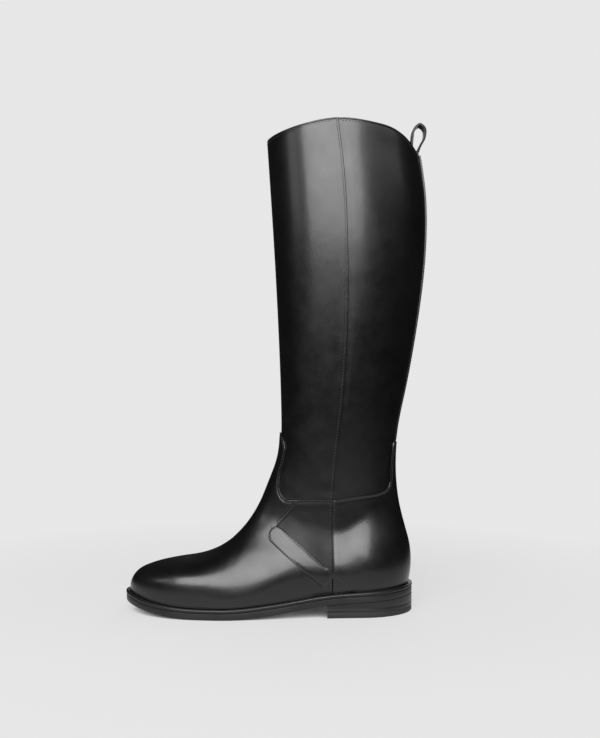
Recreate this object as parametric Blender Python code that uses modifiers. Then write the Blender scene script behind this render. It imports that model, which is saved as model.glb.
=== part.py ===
"""A knee-high riding boot for the left foot, built from its real pieces.

The toe points to -Y, the outer (lateral) side is +X and the inner (medial) side, with the zip,
is -X. The origin is on the ground, under the middle of the boot. Lengths below are millimetres.
"""

import math

import bmesh
import bpy
import numpy as np
from mathutils import Matrix, Vector

MM = 0.001

# The outlines below have their own zero. This point of theirs goes to the origin, so that the
# origin is under the middle of the boot.
MIDDLE = Vector((-0.55, 1.23, 0.0))

# Side outline of the leather, as (y, z) points. Smooth curves run through them.
FRONT_LINE = [
    (-138.4, 18.5), (-137.9, 26.5), (-132.4, 35.4), (-119.0, 41.6), (-92.0, 47.4), (-71.9, 50.6),
    (-56.0, 56.4), (-38.4, 68.3), (-15.8, 97.7), (-6.0, 121.0), (2.6, 144.4), (5.2, 164.0),
    (5.2, 195.0), (3.1, 256.7), (-1.7, 349.3), (-8.5, 452.0),
]
BACK_LINE = [
    (124.6, 20.0), (128.3, 41.0), (127.6, 61.0), (122.4, 81.0), (117.0, 103.0), (114.0, 133.2),
    (116.0, 171.8), (125.6, 218.1), (136.3, 279.9), (143.6, 341.6), (144.0, 395.7), (138.5, 437.0),
]
FEATHER_LINE = [
    (-145.0, 19.5), (-115.0, 13.0), (-85.0, 9.9), (-60.0, 9.4), (-40.0, 9.6), (-10.0, 12.4),
    (13.0, 15.5), (48.0, 21.0), (87.0, 23.4), (135.0, 26.5),
]
TOP_LINE = [
    (-10.0, 449.5), (25.0, 457.5), (58.8, 462.2), (90.0, 459.2), (112.0, 454.2), (124.0, 447.2),
    (131.0, 440.6), (136.0, 436.2), (141.0, 434.4),
]
SIDE_SEAM = [
    (53.5, 18.0), (53.5, 95.0), (57.4, 145.0), (63.3, 200.0), (67.9, 285.0), (67.9, 339.0),
    (64.6, 413.0), (58.8, 462.0),
]

# Half widths from the centre plane: (y, width) on the foot and (z, width) on the shaft.
FOOT_OUTER = [
    (-140, 33), (-100, 39.2), (-60, 44.6), (-40, 45.2), (-10, 43.0), (20, 39.6), (60, 36.0), (132, 32.8),
]
FOOT_INNER = [
    (-140, 34), (-100, 38.8), (-65, 42.2), (-40, 40.7), (-10, 34.3), (20, 29.6), (50, 29.6), (132, 32.2),
]
SHAFT_OUTER = [
    (15, 26.2), (60, 25.0), (90, 24.0), (107, 24.8), (145, 29.0), (200, 35.5), (260, 40.5), (330, 44), (462, 44.5),
]
TOE_CAP = 60.0  # length over which the toe rounds off in plan
NOSE_REACH = 70.0  # length over which the instep and shin round off in plan
REACH_SOFTNESS = 25.0
NOSE_FOOT = 62.0  # below this level the front of the shaft's curve runs on straight
NOSE_SLOPE = 1.45
HEEL_MIDDLE = 84.0  # where the heel's level cuts are widest
FAIRING = 400  # rounds of smoothing that each outline gets

# The zip runs on one straight line up the inner side.
ZIP_FOOT = Vector((-27.0, 57.8, 70.0))
ZIP_HEAD = Vector((-46.0, 66.0, 440.0))
ZIP_WINDOW = 6.5  # half width of the slot between the leather edges
ZIP_BOTTOM = 76.0
ZIP_TOP = 446.0
SLIDER_REST = 438.0
PULL_HINGE = 2.4  # how far out of the zip's middle the pull's hinge is

# Layers, measured out from the shape above: (inner face, thickness).
OVERLAY = (0.4, 1.2)
SHAFT_LEATHER = (-1.5, 1.5)
STIFFENER = (-1.5, 0.8)
SHAFT_LINING = (-2.95, 1.0)
FOOT_LINING = (-3.4, 1.0)
STRAP = (2.0, 1.0)
GAP = 0.3

STRAP_TOP = Vector((1.3, 73.9))  # the ends of the instep strap's middle line, as y and z
STRAP_FOOT = Vector((48.0, 35.6))
STRAP_HALF = 8.0
STAY_HALF = 0.1  # half widths, in columns, of the strips down the back
LINING_STRIP_HALF = 0.13
LOOP_HALF = 7.0
LOOP_THICKNESS = 1.5
LOOP_PATH = [
    (138.0, 410.0), (136.7, 424.0), (135.9, 434.0), (138.6, 444.0), (143.4, 454.0), (143.2, 462.0),
    (138.6, 465.8), (133.8, 462.0), (131.4, 452.0), (131.2, 440.0), (133.0, 424.0), (134.4, 411.0),
]

SEAT_HEIGHT = 18.0  # level of the lowest row of the leather, before it follows the feather line
RIM_HEIGHT = 450.0  # level of the top row, before it follows the top line
SHAFT_START = 100.0
TAB_BASE = 107.0  # top of the vamp beside its tab
SHAFT_ROWS = [112, 124, 136, 148, 160, 172, 186, 204, 228, 256, 290, 330, 372, 412, RIM_HEIGHT]
FOOT_ROWS = [18.9, 22, 27, 33, 38, 42, 45, 47, 49, 52, 56, 62, 69, 77, 85, 93]

# Sole: how far each layer stands out from the leather, and its faces below the feather line.
WELT_OUT = 5.4
WELT_THICK = 3.1
SOLE_OUT = 4.9
SOLE_BOTTOM = 9.4
FILLER = (-5.0, 0.4, WELT_THICK)  # layers inside the welt: (how far out, top, bottom)
INSOLE = (-4.2, -2.1, -0.2)
INSOCK = (-4.8, -3.6, -2.4)
HEEL_PAD = (-9.0, -6.4, -3.9)
PAD_START = 62.0
FILLER_END = -22.0
SHANK_ENDS = (-16.0, 84.0)
HEEL_BREAST = 48.7
HEEL_OUT = (5.1, 4.9, 4.7)  # upper lift, lower lift, top piece
LIFT_SPLIT = 8.5
TOP_PIECE = 5.0
NAIL_RADIUS = 1.2
NAIL_ENDS = (0.4, 8.0)
NAIL_SPOTS = [(-19, 60), (19, 60), (-19, 96), (19, 96), (0, 116)]

# Zip pieces, as limits across the zip and outwards from its middle.
TAPE = ((3.2, 11.0), (-3.4, -2.6))
TEETH = ((0.6, 2.9), (-2.6, -0.6))
TOP_STOP = ((0.5, 3.0), (-2.4, -0.4))
BOTTOM_STOP = ((-3.0, 3.0), (-2.4, -0.4))
GUARD = ((-13.0, 13.0), (-6.6, -5.6))
STOP_GAP = 0.4
STOP_BEVEL = 0.3


def clear_scene():
    for obj in list(bpy.data.objects):
        bpy.data.objects.remove(obj, do_unlink=True)


def smooth_line(points, steps=60):
    """Points along a smooth curve through these, as two arrays."""
    given = [np.array(p, float) for p in points]
    ends = [2 * given[0] - given[1]] + given + [2 * given[-1] - given[-2]]
    found = []
    for a, b, c, d in zip(ends, ends[1:], ends[2:], ends[3:]):
        before = max(np.linalg.norm(b - a), 1e-6)
        here = max(np.linalg.norm(c - b), 1e-6)
        after = max(np.linalg.norm(d - c), 1e-6)
        leave = ((b - a) / before * here + (c - b) * before / here) / (before + here)
        reach = ((d - c) / after * here + (c - b) * after / here) / (after + here)
        for u in np.arange(steps) / steps:
            start = (2 * u**3 - 3 * u**2 + 1) * b + (u**3 - 2 * u**2 + u) * here * leave
            found.append(start + (3 * u**2 - 2 * u**3) * c + (u**3 - u**2) * here * reach)
    found.append(given[-1])
    found = np.array(found)
    return found[:, 0], found[:, 1]


def fair_line(points):
    """A smooth line with its changes of curvature evened out."""
    line = np.stack(smooth_line(points), -1)
    for _ in range(FAIRING):
        line[1:-1] = (line[:-2] + 2 * line[1:-1] + line[2:]) / 4
    return line[:, 0], line[:, 1]


FRONT = fair_line(FRONT_LINE)
BACK = fair_line(BACK_LINE)
FEATHER = fair_line(FEATHER_LINE)
RIM = smooth_line(TOP_LINE)
SEAM = smooth_line(SIDE_SEAM)
WIDTHS = {1: fair_line(FOOT_OUTER), -1: fair_line(FOOT_INNER)}
CALF = fair_line(SHAFT_OUTER)
RIDGE = [np.append(line[FRONT[1] < 145], end) for line, end in zip(FRONT, (62.6, 306.0))]


def ease(value, low, high):
    u = min(max((value - low) / (high - low), 0.0), 1.0)
    return u * u * (3 - 2 * u)


def front_y(z):
    return float(np.interp(z, FRONT[1], FRONT[0]))


def back_y(z):
    return float(np.interp(z, BACK[1], BACK[0]))


def nose_y(z):
    """The front line, carried on straight below the instep."""
    return front_y(max(z, NOSE_FOOT)) - NOSE_SLOPE * max(NOSE_FOOT - z, 0.0)


def ridge_z(y):
    return max(float(np.interp(y, *RIDGE)), 26.0)


def feather_z(y):
    return float(np.interp(y, FEATHER[0], FEATHER[1]))


def seam_y(z):
    return float(np.interp(z, SEAM[1], SEAM[0]))


def zip_y(z):
    share = (z - ZIP_FOOT.z) / (ZIP_HEAD.z - ZIP_FOOT.z)
    return ZIP_FOOT.y + share * (ZIP_HEAD.y - ZIP_FOOT.y)


def side_y(side, z):
    """The line that splits each side in two: the side seam, or the zip."""
    return seam_y(z) if side > 0 else zip_y(z)


def shaft_width(side, z):
    if side > 0:
        return float(np.interp(z, CALF[0], CALF[1]))
    share = (z - ZIP_FOOT.z) / (ZIP_HEAD.z - ZIP_FOOT.z)
    return -(ZIP_FOOT.x + share * (ZIP_HEAD.x - ZIP_FOOT.x))


def widest_y(side, z):
    """Where the level cut through the boot is widest."""
    if side > 0:
        return HEEL_MIDDLE + ease(z, 40, 107) * ((nose_y(z) + back_y(z)) / 2 - HEEL_MIDDLE)
    return HEEL_MIDDLE + ease(z, 28, 68) * (zip_y(z) - HEEL_MIDDLE)


def square_width(side, y, z):
    """The square of the half width. It runs on below zero outside the outline."""
    foot = float(np.interp(y, WIDTHS[side][0], WIDTHS[side][1]))
    height = z - feather_z(y)
    round_off = 1 - max(1 - (y + 138.4) / TOE_CAP, 0.0) ** 2.4
    rise = min(max(height, 0.0) / (ridge_z(y) - feather_z(y)), 1.2)
    boxy = 2.6 + 2.4 * (1 - ease(y, -95, -35))
    low = ease(z, 25, 68)
    if side > 0:
        slope_foot = 14 + 24 * ease(y, -60, 40) + 8 * ease(y, 70, 110)
        slope_head = 93 - 11 * ease(y, 10, 55) + 28 * ease(y, 60, 105)
        low = ease(z, slope_foot, slope_head)
    slim = low * ease(y, -70, -5)
    fore = (foot + slim * (shaft_width(side, z) - foot)) ** 2 * round_off * (1 - rise**boxy)
    width = foot + low * (shaft_width(side, z) - foot)
    middle = widest_y(side, z)
    reach = middle - nose_y(z)
    beyond = reach - NOSE_REACH
    reach = reach - 0.375 * (beyond + math.hypot(beyond, REACH_SOFTNESS))
    ahead = 1 - max(1 - (y - nose_y(z)) / max(reach, 1.0), 0.0) ** 2
    behind = 1 - max(1 - (back_y(z) - y) / (back_y(z) - middle), 0.0) ** 2
    hind = width**2 * min(ahead, 1.0) * min(behind, 1.0)
    shin = ease(z, 55, 90)
    share = 1 - (1 - ease(y, -50 - 8 * shin, 20 - 20 * shin)) * (1 - ease(z, 80, 130))
    tuck = 1 - 0.07 * max(1 - height / 9.0, 0.0) ** 2
    return (fore + share * (hind - fore)) * tuck


def level(height, y):
    """The height of a row of the leather at y. The lowest and highest rows follow their edges."""
    low = max(1 - (height - SEAT_HEIGHT) / 40, 0.0) ** 1.5
    high = ease(height, 330, RIM_HEIGHT)
    rim = float(np.interp(y, RIM[0], RIM[1]))
    return height + (feather_z(y) - SEAT_HEIGHT) * low + (rim - RIM_HEIGHT) * high


def meet(line, height):
    """Where a row of the leather meets a line given as y at each z."""
    low, high = -150.0, 150.0
    for _ in range(40):
        middle = (low + high) / 2
        if middle < line(level(height, middle)):
            low = middle
        else:
            high = middle
    return (low + high) / 2


def ends_of_row(side, height, cache={}):
    key = (side, round(height, 4))
    if key not in cache:
        cache[key] = tuple(
            meet(line, height) for line in (front_y, lambda z: side_y(side, z), back_y)
        )
    return cache[key]


def place(column, height):
    """Side, y and z. Column 0 is the front, 1 the side seam, 2 the back, 3 the zip and 4 the front."""
    column = column - 4 if column > 2 else column
    side = 1 if column >= 0 else -1
    front, split, back = ends_of_row(side, height)
    along = abs(column)
    if along <= 1:
        y = front + (split - front) * (1 - math.cos(along * math.pi / 2))
    else:
        y = back - (back - split) * (1 - math.sin((along - 1) * math.pi / 2))
    return side, y, level(height, y)


def column_at(side, y, height):
    """The column of a given y on one side."""
    front, split, back = ends_of_row(side, height)
    if y <= split:
        column = math.acos(min(max(1 - (y - front) / (split - front), -1.0), 1.0)) * 2 / math.pi
    else:
        column = 1 + math.asin(min(max(1 - (back - y) / (back - split), 0.0), 1.0)) * 2 / math.pi
    return side * column


def surface(side, y, z, lift=0.0):
    """A point on the leather's shape, moved out along its normal."""
    x = side * math.sqrt(max(square_width(side, y, z), 0.0))
    step = 0.2
    slope_y = (square_width(side, y + step, z) - square_width(side, y - step, z)) / (2 * step)
    slope_z = (square_width(side, y, z + step) - square_width(side, y, z - step)) / (2 * step)
    normal = Vector((2 * x, -slope_y, -slope_z))
    return Vector((x, y, z)) + normal.normalized() * lift


def new_empty(name, parent=None):
    empty = bpy.data.objects.new(name, None)
    bpy.data.collections["riding_boot"].objects.link(empty)
    empty.parent = parent
    return empty


def new_object(name, mesh, colour, roughness=0.45, metallic=0.0):
    obj = bpy.data.objects.new(name, mesh)
    bpy.data.collections["riding_boot"].objects.link(obj)
    obj.parent = bpy.data.objects["boot_middle"]
    mesh.materials.append(finish(name, colour, roughness, metallic))
    return obj


def finish(name, colour, roughness, metallic):
    material = bpy.data.materials.new(name)
    material.use_nodes = True
    shader = material.node_tree.nodes["Principled BSDF"]
    shader.inputs["Base Color"].default_value = (*colour, 1)
    shader.inputs["Roughness"].default_value = roughness
    shader.inputs["Metallic"].default_value = metallic
    return material


def grid_mesh(name, *blocks):
    """A mesh from blocks of rows of points. Blocks join where their points agree."""
    mesh = bpy.data.meshes.new(name)
    shape = bmesh.new()
    for rows in blocks:
        verts = [[shape.verts.new(Vector(p) * MM) for p in row] for row in rows]
        for low, high in zip(verts, verts[1:]):
            for i in range(len(low) - 1):
                shape.faces.new((low[i], low[i + 1], high[i + 1], high[i]))
    bmesh.ops.remove_doubles(shape, verts=shape.verts, dist=1e-6)
    shape.to_mesh(mesh)
    shape.free()
    mesh.shade_smooth()
    return mesh


def shell(name, blocks, thickness, colour, roughness=0.4):
    """A sheet of leather or cloth: the blocks of rows are its inner face."""
    obj = new_object(name, grid_mesh(name, *blocks), colour, roughness)
    solidify = obj.modifiers.new("thickness", "SOLIDIFY")
    solidify.thickness = thickness * MM
    solidify.offset = 1
    return obj


def panel(name, heights, edges, count, layer, colour, roughness=0.4):
    """A panel between two edges, each given as a column at a height."""
    lift, thickness = layer
    rows = []
    for height in heights:
        start, stop = edges(height)
        columns = np.linspace(start, stop, count + 1)
        rows.append([surface(*place(c, height), lift) for c in columns])
    return shell(name, [rows], thickness, colour, roughness)


def curved_panel(name, columns, low, high, shares, layer, colour, roughness=0.4):
    """A panel whose lower and upper edges are given as a height at each column."""
    lift, thickness = layer
    rows = []
    for share in shares:
        heights = [low(c) + share * (high(c) - low(c)) for c in columns]
        rows.append([surface(*place(c, h), lift) for c, h in zip(columns, heights)])
    return shell(name, [rows], thickness, colour, roughness)


BLACK = (0.012, 0.012, 0.013)
LINING = (0.10, 0.075, 0.05)
STEEL = (0.35, 0.35, 0.36)


# Foot of the upper


def vamp_back_y(z):
    """Rear edge of the vamp on the outer side: seam, strap, ankle panel, then the front tab."""
    edge = [
        (18, 53.1), (38, 53.1), (46, 45.5), (75, 5.4), (80.5, 2.0), (84, 3.9), (96, 14.8), (105.5, 22.4),
        (107, 20.0), (108.6, 8.5), (117, 4.4), (131.5, 5.4), (153, 10.3), (163, 8.0), (170, 6.0),
    ]
    heights, places = zip(*edge)
    return float(np.interp(z, heights, places))


def window_edge(height, reach):
    """Column of a line beside the zip. Below the zip the two sides close up."""
    middle = zip_y(level(height, 60.0))
    open_share = ease(height, 58, 70)
    half = GAP + open_share * (abs(reach) - GAP)
    return column_at(-1, middle + math.copysign(half, reach), height)


def make_vamp():
    """The foot part, and the tab that rises from its middle up the shin."""
    foot, tab = [], []
    for height in FOOT_ROWS + [100, 105, TAB_BASE]:
        inner = np.linspace(window_edge(height, -ZIP_WINDOW), 0, 13)
        outer = np.linspace(0, column_at(1, vamp_back_y(height), height), 13)
        columns = np.concatenate([inner, outer[1:]])
        foot.append([surface(*place(c, height), OVERLAY[0]) for c in columns])
    tab.append(foot[-1][5:22])
    for height in [108.6, 112, 118, 128, 140, 153, 160, 166, 169.5]:
        edge = column_at(1, vamp_back_y(height), height)
        columns = np.concatenate([np.linspace(-edge, 0, 8), np.linspace(0, edge, 10)[1:]])
        tab.append([surface(*place(c, height), OVERLAY[0]) for c in columns])
    return shell("vamp", [foot, tab], OVERLAY[1], BLACK, 0.3)


def quarter_top(column):
    """Upper edge of the heel quarter, which rises to a flat tab at the back."""
    column = 4 - column if column > 2 else column
    edge = [
        (1.0, 107.0), (1.24, 110.5), (1.46, 112.5), (1.63, 116.0), (1.71, 122.0), (1.75, 140.0),
        (1.78, 156.0), (1.82, 161.0), (2.0, 161.0),
    ]
    places, heights = zip(*edge)
    return float(np.interp(column, places, heights))


def make_heel_quarter():
    half = [1.10, 1.20, 1.32, 1.46, 1.58, 1.66, 1.71, 1.75, 1.785, 1.83, 1.91]
    shares = [0, 0.05, 0.11, 0.18, 0.27, 0.38, 0.5, 0.62, 0.74, 0.87, 1]
    inner = [4 - c for c in reversed(half)]
    lift, thickness = OVERLAY
    rows = []
    for share in shares:
        def height(c):
            return 18.9 + share * (quarter_top(c) - 18.9)
        row = [surface(*place(1.006, height(1.0)), lift)]
        row += [surface(*place(c, height(c)), lift) for c in half + [2.0] + inner]
        last = 4 + window_edge(height(3.0), ZIP_WINDOW)
        row.append(surface(*place(last, height(3.0)), lift))
        rows.append(row)
    return shell("heel_quarter", [rows], thickness, BLACK, 0.3)


def make_ankle_panel():
    def edges(height):
        start = column_at(1, vamp_back_y(height) - 5, height)
        return start, column_at(1, seam_y(height) - GAP, height)

    return panel(
        "ankle_panel", [40, 46, 53, 61, 69, 77, 83, 88, 94, 100, 106.7], edges, 8,
        SHAFT_LEATHER, BLACK, 0.5,
    )


def make_instep_strap():
    """The stitched strap that runs from the instep down to the side seam. Its upper end is round."""
    along = (STRAP_FOOT - STRAP_TOP).normalized()
    across = Vector((-along.y, along.x))
    length = (STRAP_FOOT - STRAP_TOP).length
    stations = [(-6.5, 3.5), (-5.0, 5.6), (-2.5, 7.2), (0.5, 7.8)]
    stations += [(length * k / 7, STRAP_HALF) for k in range(1, 8)]
    rows = []
    for side in (-1, -1 / 3, 1 / 3, 1):
        row = []
        for run, half in stations:
            spot = STRAP_TOP + along * run - across * half * side
            row.append(surface(1, spot.x, spot.y, STRAP[0]))
        rows.append(row)
    rows.reverse()
    return shell("instep_strap", [rows], STRAP[1], BLACK, 0.35)


def make_toe_puff():
    heights = [18.9, 22, 27, 33, 38, 42, 45]
    return panel(
        "toe_puff", heights, lambda h: (column_at(-1, -98, h), column_at(1, -98, h)), 16,
        STIFFENER, (0.35, 0.3, 0.22), 0.8,
    )


def make_heel_counter():
    columns = [1.1, 1.25, 1.4, 1.55, 1.66, 1.75, 1.83, 1.91, 2.0]
    columns += [4 - c for c in reversed(columns[:-1])]
    return curved_panel(
        "heel_counter", columns, lambda c: 18.9, lambda c: 76.0 - 22 * abs(c - 2),
        [0, 0.1, 0.25, 0.45, 0.7, 1], STIFFENER, (0.35, 0.3, 0.22), 0.8,
    )


def make_foot_lining():
    panel(
        "lining_foot", FOOT_ROWS + [98.5],
        lambda h: (window_edge(h, -12), column_at(1, seam_y(h) - GAP, h)), 20,
        FOOT_LINING, LINING, 0.7,
    )
    rows = [18.9, 22, 27, 33, 40, 49, 58, 69, 79, 89, 98.5]
    panel(
        "heel_grip", rows,
        lambda h: (column_at(1, seam_y(h) + GAP, h), 4 + window_edge(h, 12)), 20,
        FOOT_LINING, (0.14, 0.11, 0.08), 0.9,
    )


# Shaft


def make_shaft_front():
    count = 22
    rows = []
    for height in [SHAFT_START] + SHAFT_ROWS:
        start = window_edge(height, -ZIP_WINDOW)
        stop = column_at(1, meet(seam_y, height) - 0.2, height)
        row = []
        for column in np.linspace(start, stop, count + 1):
            lifted = height
            if height == SHAFT_START:
                lifted += 7.2 * ease(column, 0.12, 0.3)
            row.append(surface(*place(column, lifted), SHAFT_LEATHER[0]))
        rows.append(row)
    return shell("shaft_front", [rows], SHAFT_LEATHER[1], BLACK, 0.28)


def make_shaft_rear():
    heights = [SHAFT_START] + SHAFT_ROWS
    panel(
        "shaft_rear_outer", heights,
        lambda h: (column_at(1, meet(seam_y, h) + 0.2, h), 1.994), 11, SHAFT_LEATHER, BLACK, 0.28,
    )
    panel(
        "shaft_rear_inner", heights,
        lambda h: (2.006, 4 + window_edge(h, ZIP_WINDOW)), 11, SHAFT_LEATHER, BLACK, 0.28,
    )


def make_back_stay():
    heights = [163, 172, 186, 204, 228, 256, 290, 330, 372, 412, RIM_HEIGHT]
    return panel(
        "back_stay", heights, lambda h: (2 - STAY_HALF, 2 + STAY_HALF), 4, OVERLAY, BLACK, 0.35
    )


def make_shaft_lining():
    heights = [SHAFT_START] + SHAFT_ROWS
    strip = LINING_STRIP_HALF
    panel(
        "lining_front", heights,
        lambda h: (window_edge(h, -12), column_at(1, meet(seam_y, h) - GAP, h)), 22,
        SHAFT_LINING, LINING, 0.7,
    )
    panel(
        "lining_rear_outer", heights,
        lambda h: (column_at(1, meet(seam_y, h) + GAP, h), 2 - strip - 0.008), 10,
        SHAFT_LINING, LINING, 0.7,
    )
    panel(
        "lining_rear_inner", heights,
        lambda h: (2 + strip + 0.008, 4 + window_edge(h, 12)), 10, SHAFT_LINING, LINING, 0.7,
    )
    panel(
        "lining_back_strip", heights[:-2] + [418], lambda h: (2 - strip, 2 + strip), 4,
        SHAFT_LINING, LINING, 0.7,
    )


def make_pull_loop():
    """A strap that leaves the wall at the back of the rim, loops over and comes down inside."""
    lengthwise, heights = smooth_line(LOOP_PATH, 3)
    rows = []
    for x in np.linspace(-LOOP_HALF, LOOP_HALF, 5):
        sag = 0.019 * x * x
        row = []
        for y, z in zip(lengthwise, heights):
            row.append(Vector((x, y - sag * (1 - ease(z, 432, 450)), z)))
        rows.append(row)
    obj = shell("pull_loop", [rows], LOOP_THICKNESS, BLACK, 0.4)
    obj.modifiers["thickness"].offset = 0
    return obj


# Sole and heel


def outline(side, out):
    """The leather's lower edge in plan, moved outwards: y and x."""
    ys, xs = [], []
    for column in np.linspace(0, 2, 90):
        spot = place(side * column, SEAT_HEIGHT)
        inner = surface(side, spot[1], spot[2] + 0.3)
        outer = surface(side, spot[1], spot[2] + 0.3, 1.0)
        away = Vector((outer.x - inner.x, outer.y - inner.y)).normalized()
        ys.append(inner.y + away.y * out)
        xs.append(abs(inner.x + away.x * out) * side)
    return np.array(ys), np.array(xs)


def plate(name, out, top, bottom, colour, start=None, stop=None, count=22, roughness=0.5):
    """A layer of the sole: its outline follows the leather, and its faces follow two lines."""
    outer, inner = outline(1, out), outline(-1, out)
    first = max(outer[0][0], inner[0][0]) + 0.2 if start is None else start
    last = min(outer[0][-1], inner[0][-1]) - 0.2 if stop is None else stop
    rows = []
    for u in np.linspace(0, 1, count + 1):
        share = (1 - math.cos(u * math.pi)) / 2
        if start is not None:
            share = math.sin(u * math.pi / 2)
        if stop is not None:
            share = 1 - math.cos(u * math.pi / 2) if start is None else u
        y = first + share * (last - first)
        low = float(np.interp(y, inner[0], inner[1]))
        high = float(np.interp(y, outer[0], outer[1]))
        rows.append([(low, y, bottom(y)), (high, y, bottom(y)), (high, y, top(y)), (low, y, top(y))])
    return new_object(name, tube_mesh(name, rows, False), colour, roughness)


def tube_mesh(name, rows, closed):
    """A mesh through four-cornered sections, closed into a ring or capped at both ends."""
    mesh = bpy.data.meshes.new(name)
    shape = bmesh.new()
    verts = [[shape.verts.new(Vector(p) * MM) for p in row] for row in rows]
    pairs = list(zip(verts, verts[1:]))
    if closed:
        pairs.append((verts[-1], verts[0]))
    for here, there in pairs:
        for i in range(4):
            j = (i + 1) % 4
            shape.faces.new((here[i], here[j], there[j], there[i]))
    if not closed:
        shape.faces.new(verts[0])
        shape.faces.new(verts[-1])
    bmesh.ops.recalc_face_normals(shape, faces=shape.faces)
    shape.to_mesh(mesh)
    shape.free()
    return mesh


def make_welt():
    rows = []
    for column in np.linspace(0, 4, 57)[:-1]:
        side, y, z = place(column, SEAT_HEIGHT)
        inner = surface(side, y, z + 0.3)
        outer = surface(side, y, z + 0.3, 1.0)
        away = Vector((outer.x - inner.x, outer.y - inner.y, 0)).normalized()
        far, near = inner + away * WELT_OUT, inner - away * 4.5
        top_far, top_near = feather_z(far.y), feather_z(near.y)
        rows.append([
            (near.x, near.y, top_near - WELT_THICK), (far.x, far.y, top_far - WELT_THICK),
            (far.x, far.y, top_far), (near.x, near.y, top_near),
        ])
    return new_object("welt", tube_mesh("welt", rows, True), BLACK, 0.45)


def below(depth):
    return lambda y: max(feather_z(y) - depth, 0.0)


def make_bottom():
    plate("outsole", SOLE_OUT, below(WELT_THICK + GAP), below(SOLE_BOTTOM), BLACK, count=30)
    layers = [
        ("bottom_filler", FILLER, (0.3, 0.2, 0.12), {"stop": FILLER_END}),
        ("insole_board", INSOLE, (0.35, 0.25, 0.16), {"count": 24}),
        ("insock", INSOCK, LINING, {"count": 24, "roughness": 0.7}),
        ("heel_pad", HEEL_PAD, LINING, {"start": PAD_START, "count": 10, "roughness": 0.8}),
    ]
    for name, (out, top, bottom), colour, more in layers:
        plate(name, out, below(top), below(bottom), colour, **more)


def make_shank():
    rows = []
    for y in np.linspace(*SHANK_ENDS, 9):
        half = 7.5 - 0.0009 * (y - 34) ** 2
        low, high = feather_z(y) - 2.7, feather_z(y) - 0.8
        rows.append([(-half, y, low), (half, y, low), (half, y, high), (-half, y, high)])
    return new_object("shank", tube_mesh("shank", rows, False), STEEL, 0.35, 1.0)


def make_heel():
    plate(
        "heel_lift_upper", HEEL_OUT[0], below(SOLE_BOTTOM + GAP), lambda y: LIFT_SPLIT + GAP, BLACK,
        start=HEEL_BREAST, count=12,
    )
    lower = plate(
        "heel_lift_lower", HEEL_OUT[1], lambda y: LIFT_SPLIT, lambda y: TOP_PIECE + GAP, BLACK,
        start=HEEL_BREAST, count=12,
    )
    top_piece = plate(
        "heel_top_piece", HEEL_OUT[2], lambda y: TOP_PIECE, lambda y: 0.0, BLACK,
        start=HEEL_BREAST, count=12,
    )
    length, middle = NAIL_ENDS[1] - NAIL_ENDS[0], sum(NAIL_ENDS) / 2
    for number, (x, y) in enumerate(NAIL_SPOTS, 1):
        nail = cylinder(f"heel_nail_{number}", NAIL_RADIUS, length, (x, y, middle), STEEL, 1.0)
        nail.data.shade_smooth()
        depth = 2 * (NAIL_ENDS[1] + GAP)
        cutter = cylinder(f"nail_hole_{number}", NAIL_RADIUS + GAP, depth, (x, y, 0.0), STEEL, 0.0)
        hide_cutter(cutter)
        for layer in (lower, top_piece):
            cut = layer.modifiers.new(f"nail_{number}", "BOOLEAN")
            cut.operation = "DIFFERENCE"
            cut.object = cutter


def cylinder(name, radius, length, centre, colour, metallic):
    mesh = bpy.data.meshes.new(name)
    shape = bmesh.new()
    bmesh.ops.create_cone(
        shape, cap_ends=True, segments=12, radius1=radius * MM, radius2=radius * MM, depth=length * MM
    )
    shape.to_mesh(mesh)
    shape.free()
    obj = new_object(name, mesh, colour, 0.4, metallic)
    obj.location = Vector(centre) * MM
    return obj


def hide_cutter(obj):
    bpy.data.collections["riding_boot"].objects.unlink(obj)
    bpy.data.collections["cutters"].objects.link(obj)
    obj.hide_render = True
    obj.display_type = "WIRE"


# Zip: its pieces are placed in the zip's own frame, x across, y outwards and z along it.


def zip_matrix(z):
    """The zip's frame at a height: the slider's empty, and every fixed piece, uses it."""
    along = (ZIP_HEAD - ZIP_FOOT).normalized()
    across = Vector((0, 1, 0))
    outwards = along.cross(across).normalized()
    if outwards.x > 0:
        outwards.negate()
    across = outwards.cross(along).normalized()
    share = (z - ZIP_FOOT.z) / (ZIP_HEAD.z - ZIP_FOOT.z)
    centre = ZIP_FOOT.lerp(ZIP_HEAD, share)
    turn = Matrix((across, outwards, along)).transposed().to_4x4()
    return Matrix.Translation(centre * MM) @ turn


def along_zip(z):
    """Distance along the zip from the slider at rest to a height."""
    return (z - SLIDER_REST) / (ZIP_HEAD - ZIP_FOOT).normalized().z


def bar(name, across, outwards, along, colour, parent, metallic=0.0, bevel=0.0):
    """A box between pairs of limits in the zip's frame."""
    mesh = bpy.data.meshes.new(name)
    shape = bmesh.new()
    bmesh.ops.create_cube(shape, size=1)
    limits = [across, outwards, along]
    for vert in shape.verts:
        vert.co = Vector([low + (co + 0.5) * (high - low) for co, (low, high) in zip(vert.co, limits)]) * MM
    shape.to_mesh(mesh)
    shape.free()
    obj = new_object(name, mesh, colour, 0.35, metallic)
    obj.parent = parent
    if bevel:
        rounding = obj.modifiers.new("rounding", "BEVEL")
        rounding.width = bevel * MM
    return obj


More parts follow.
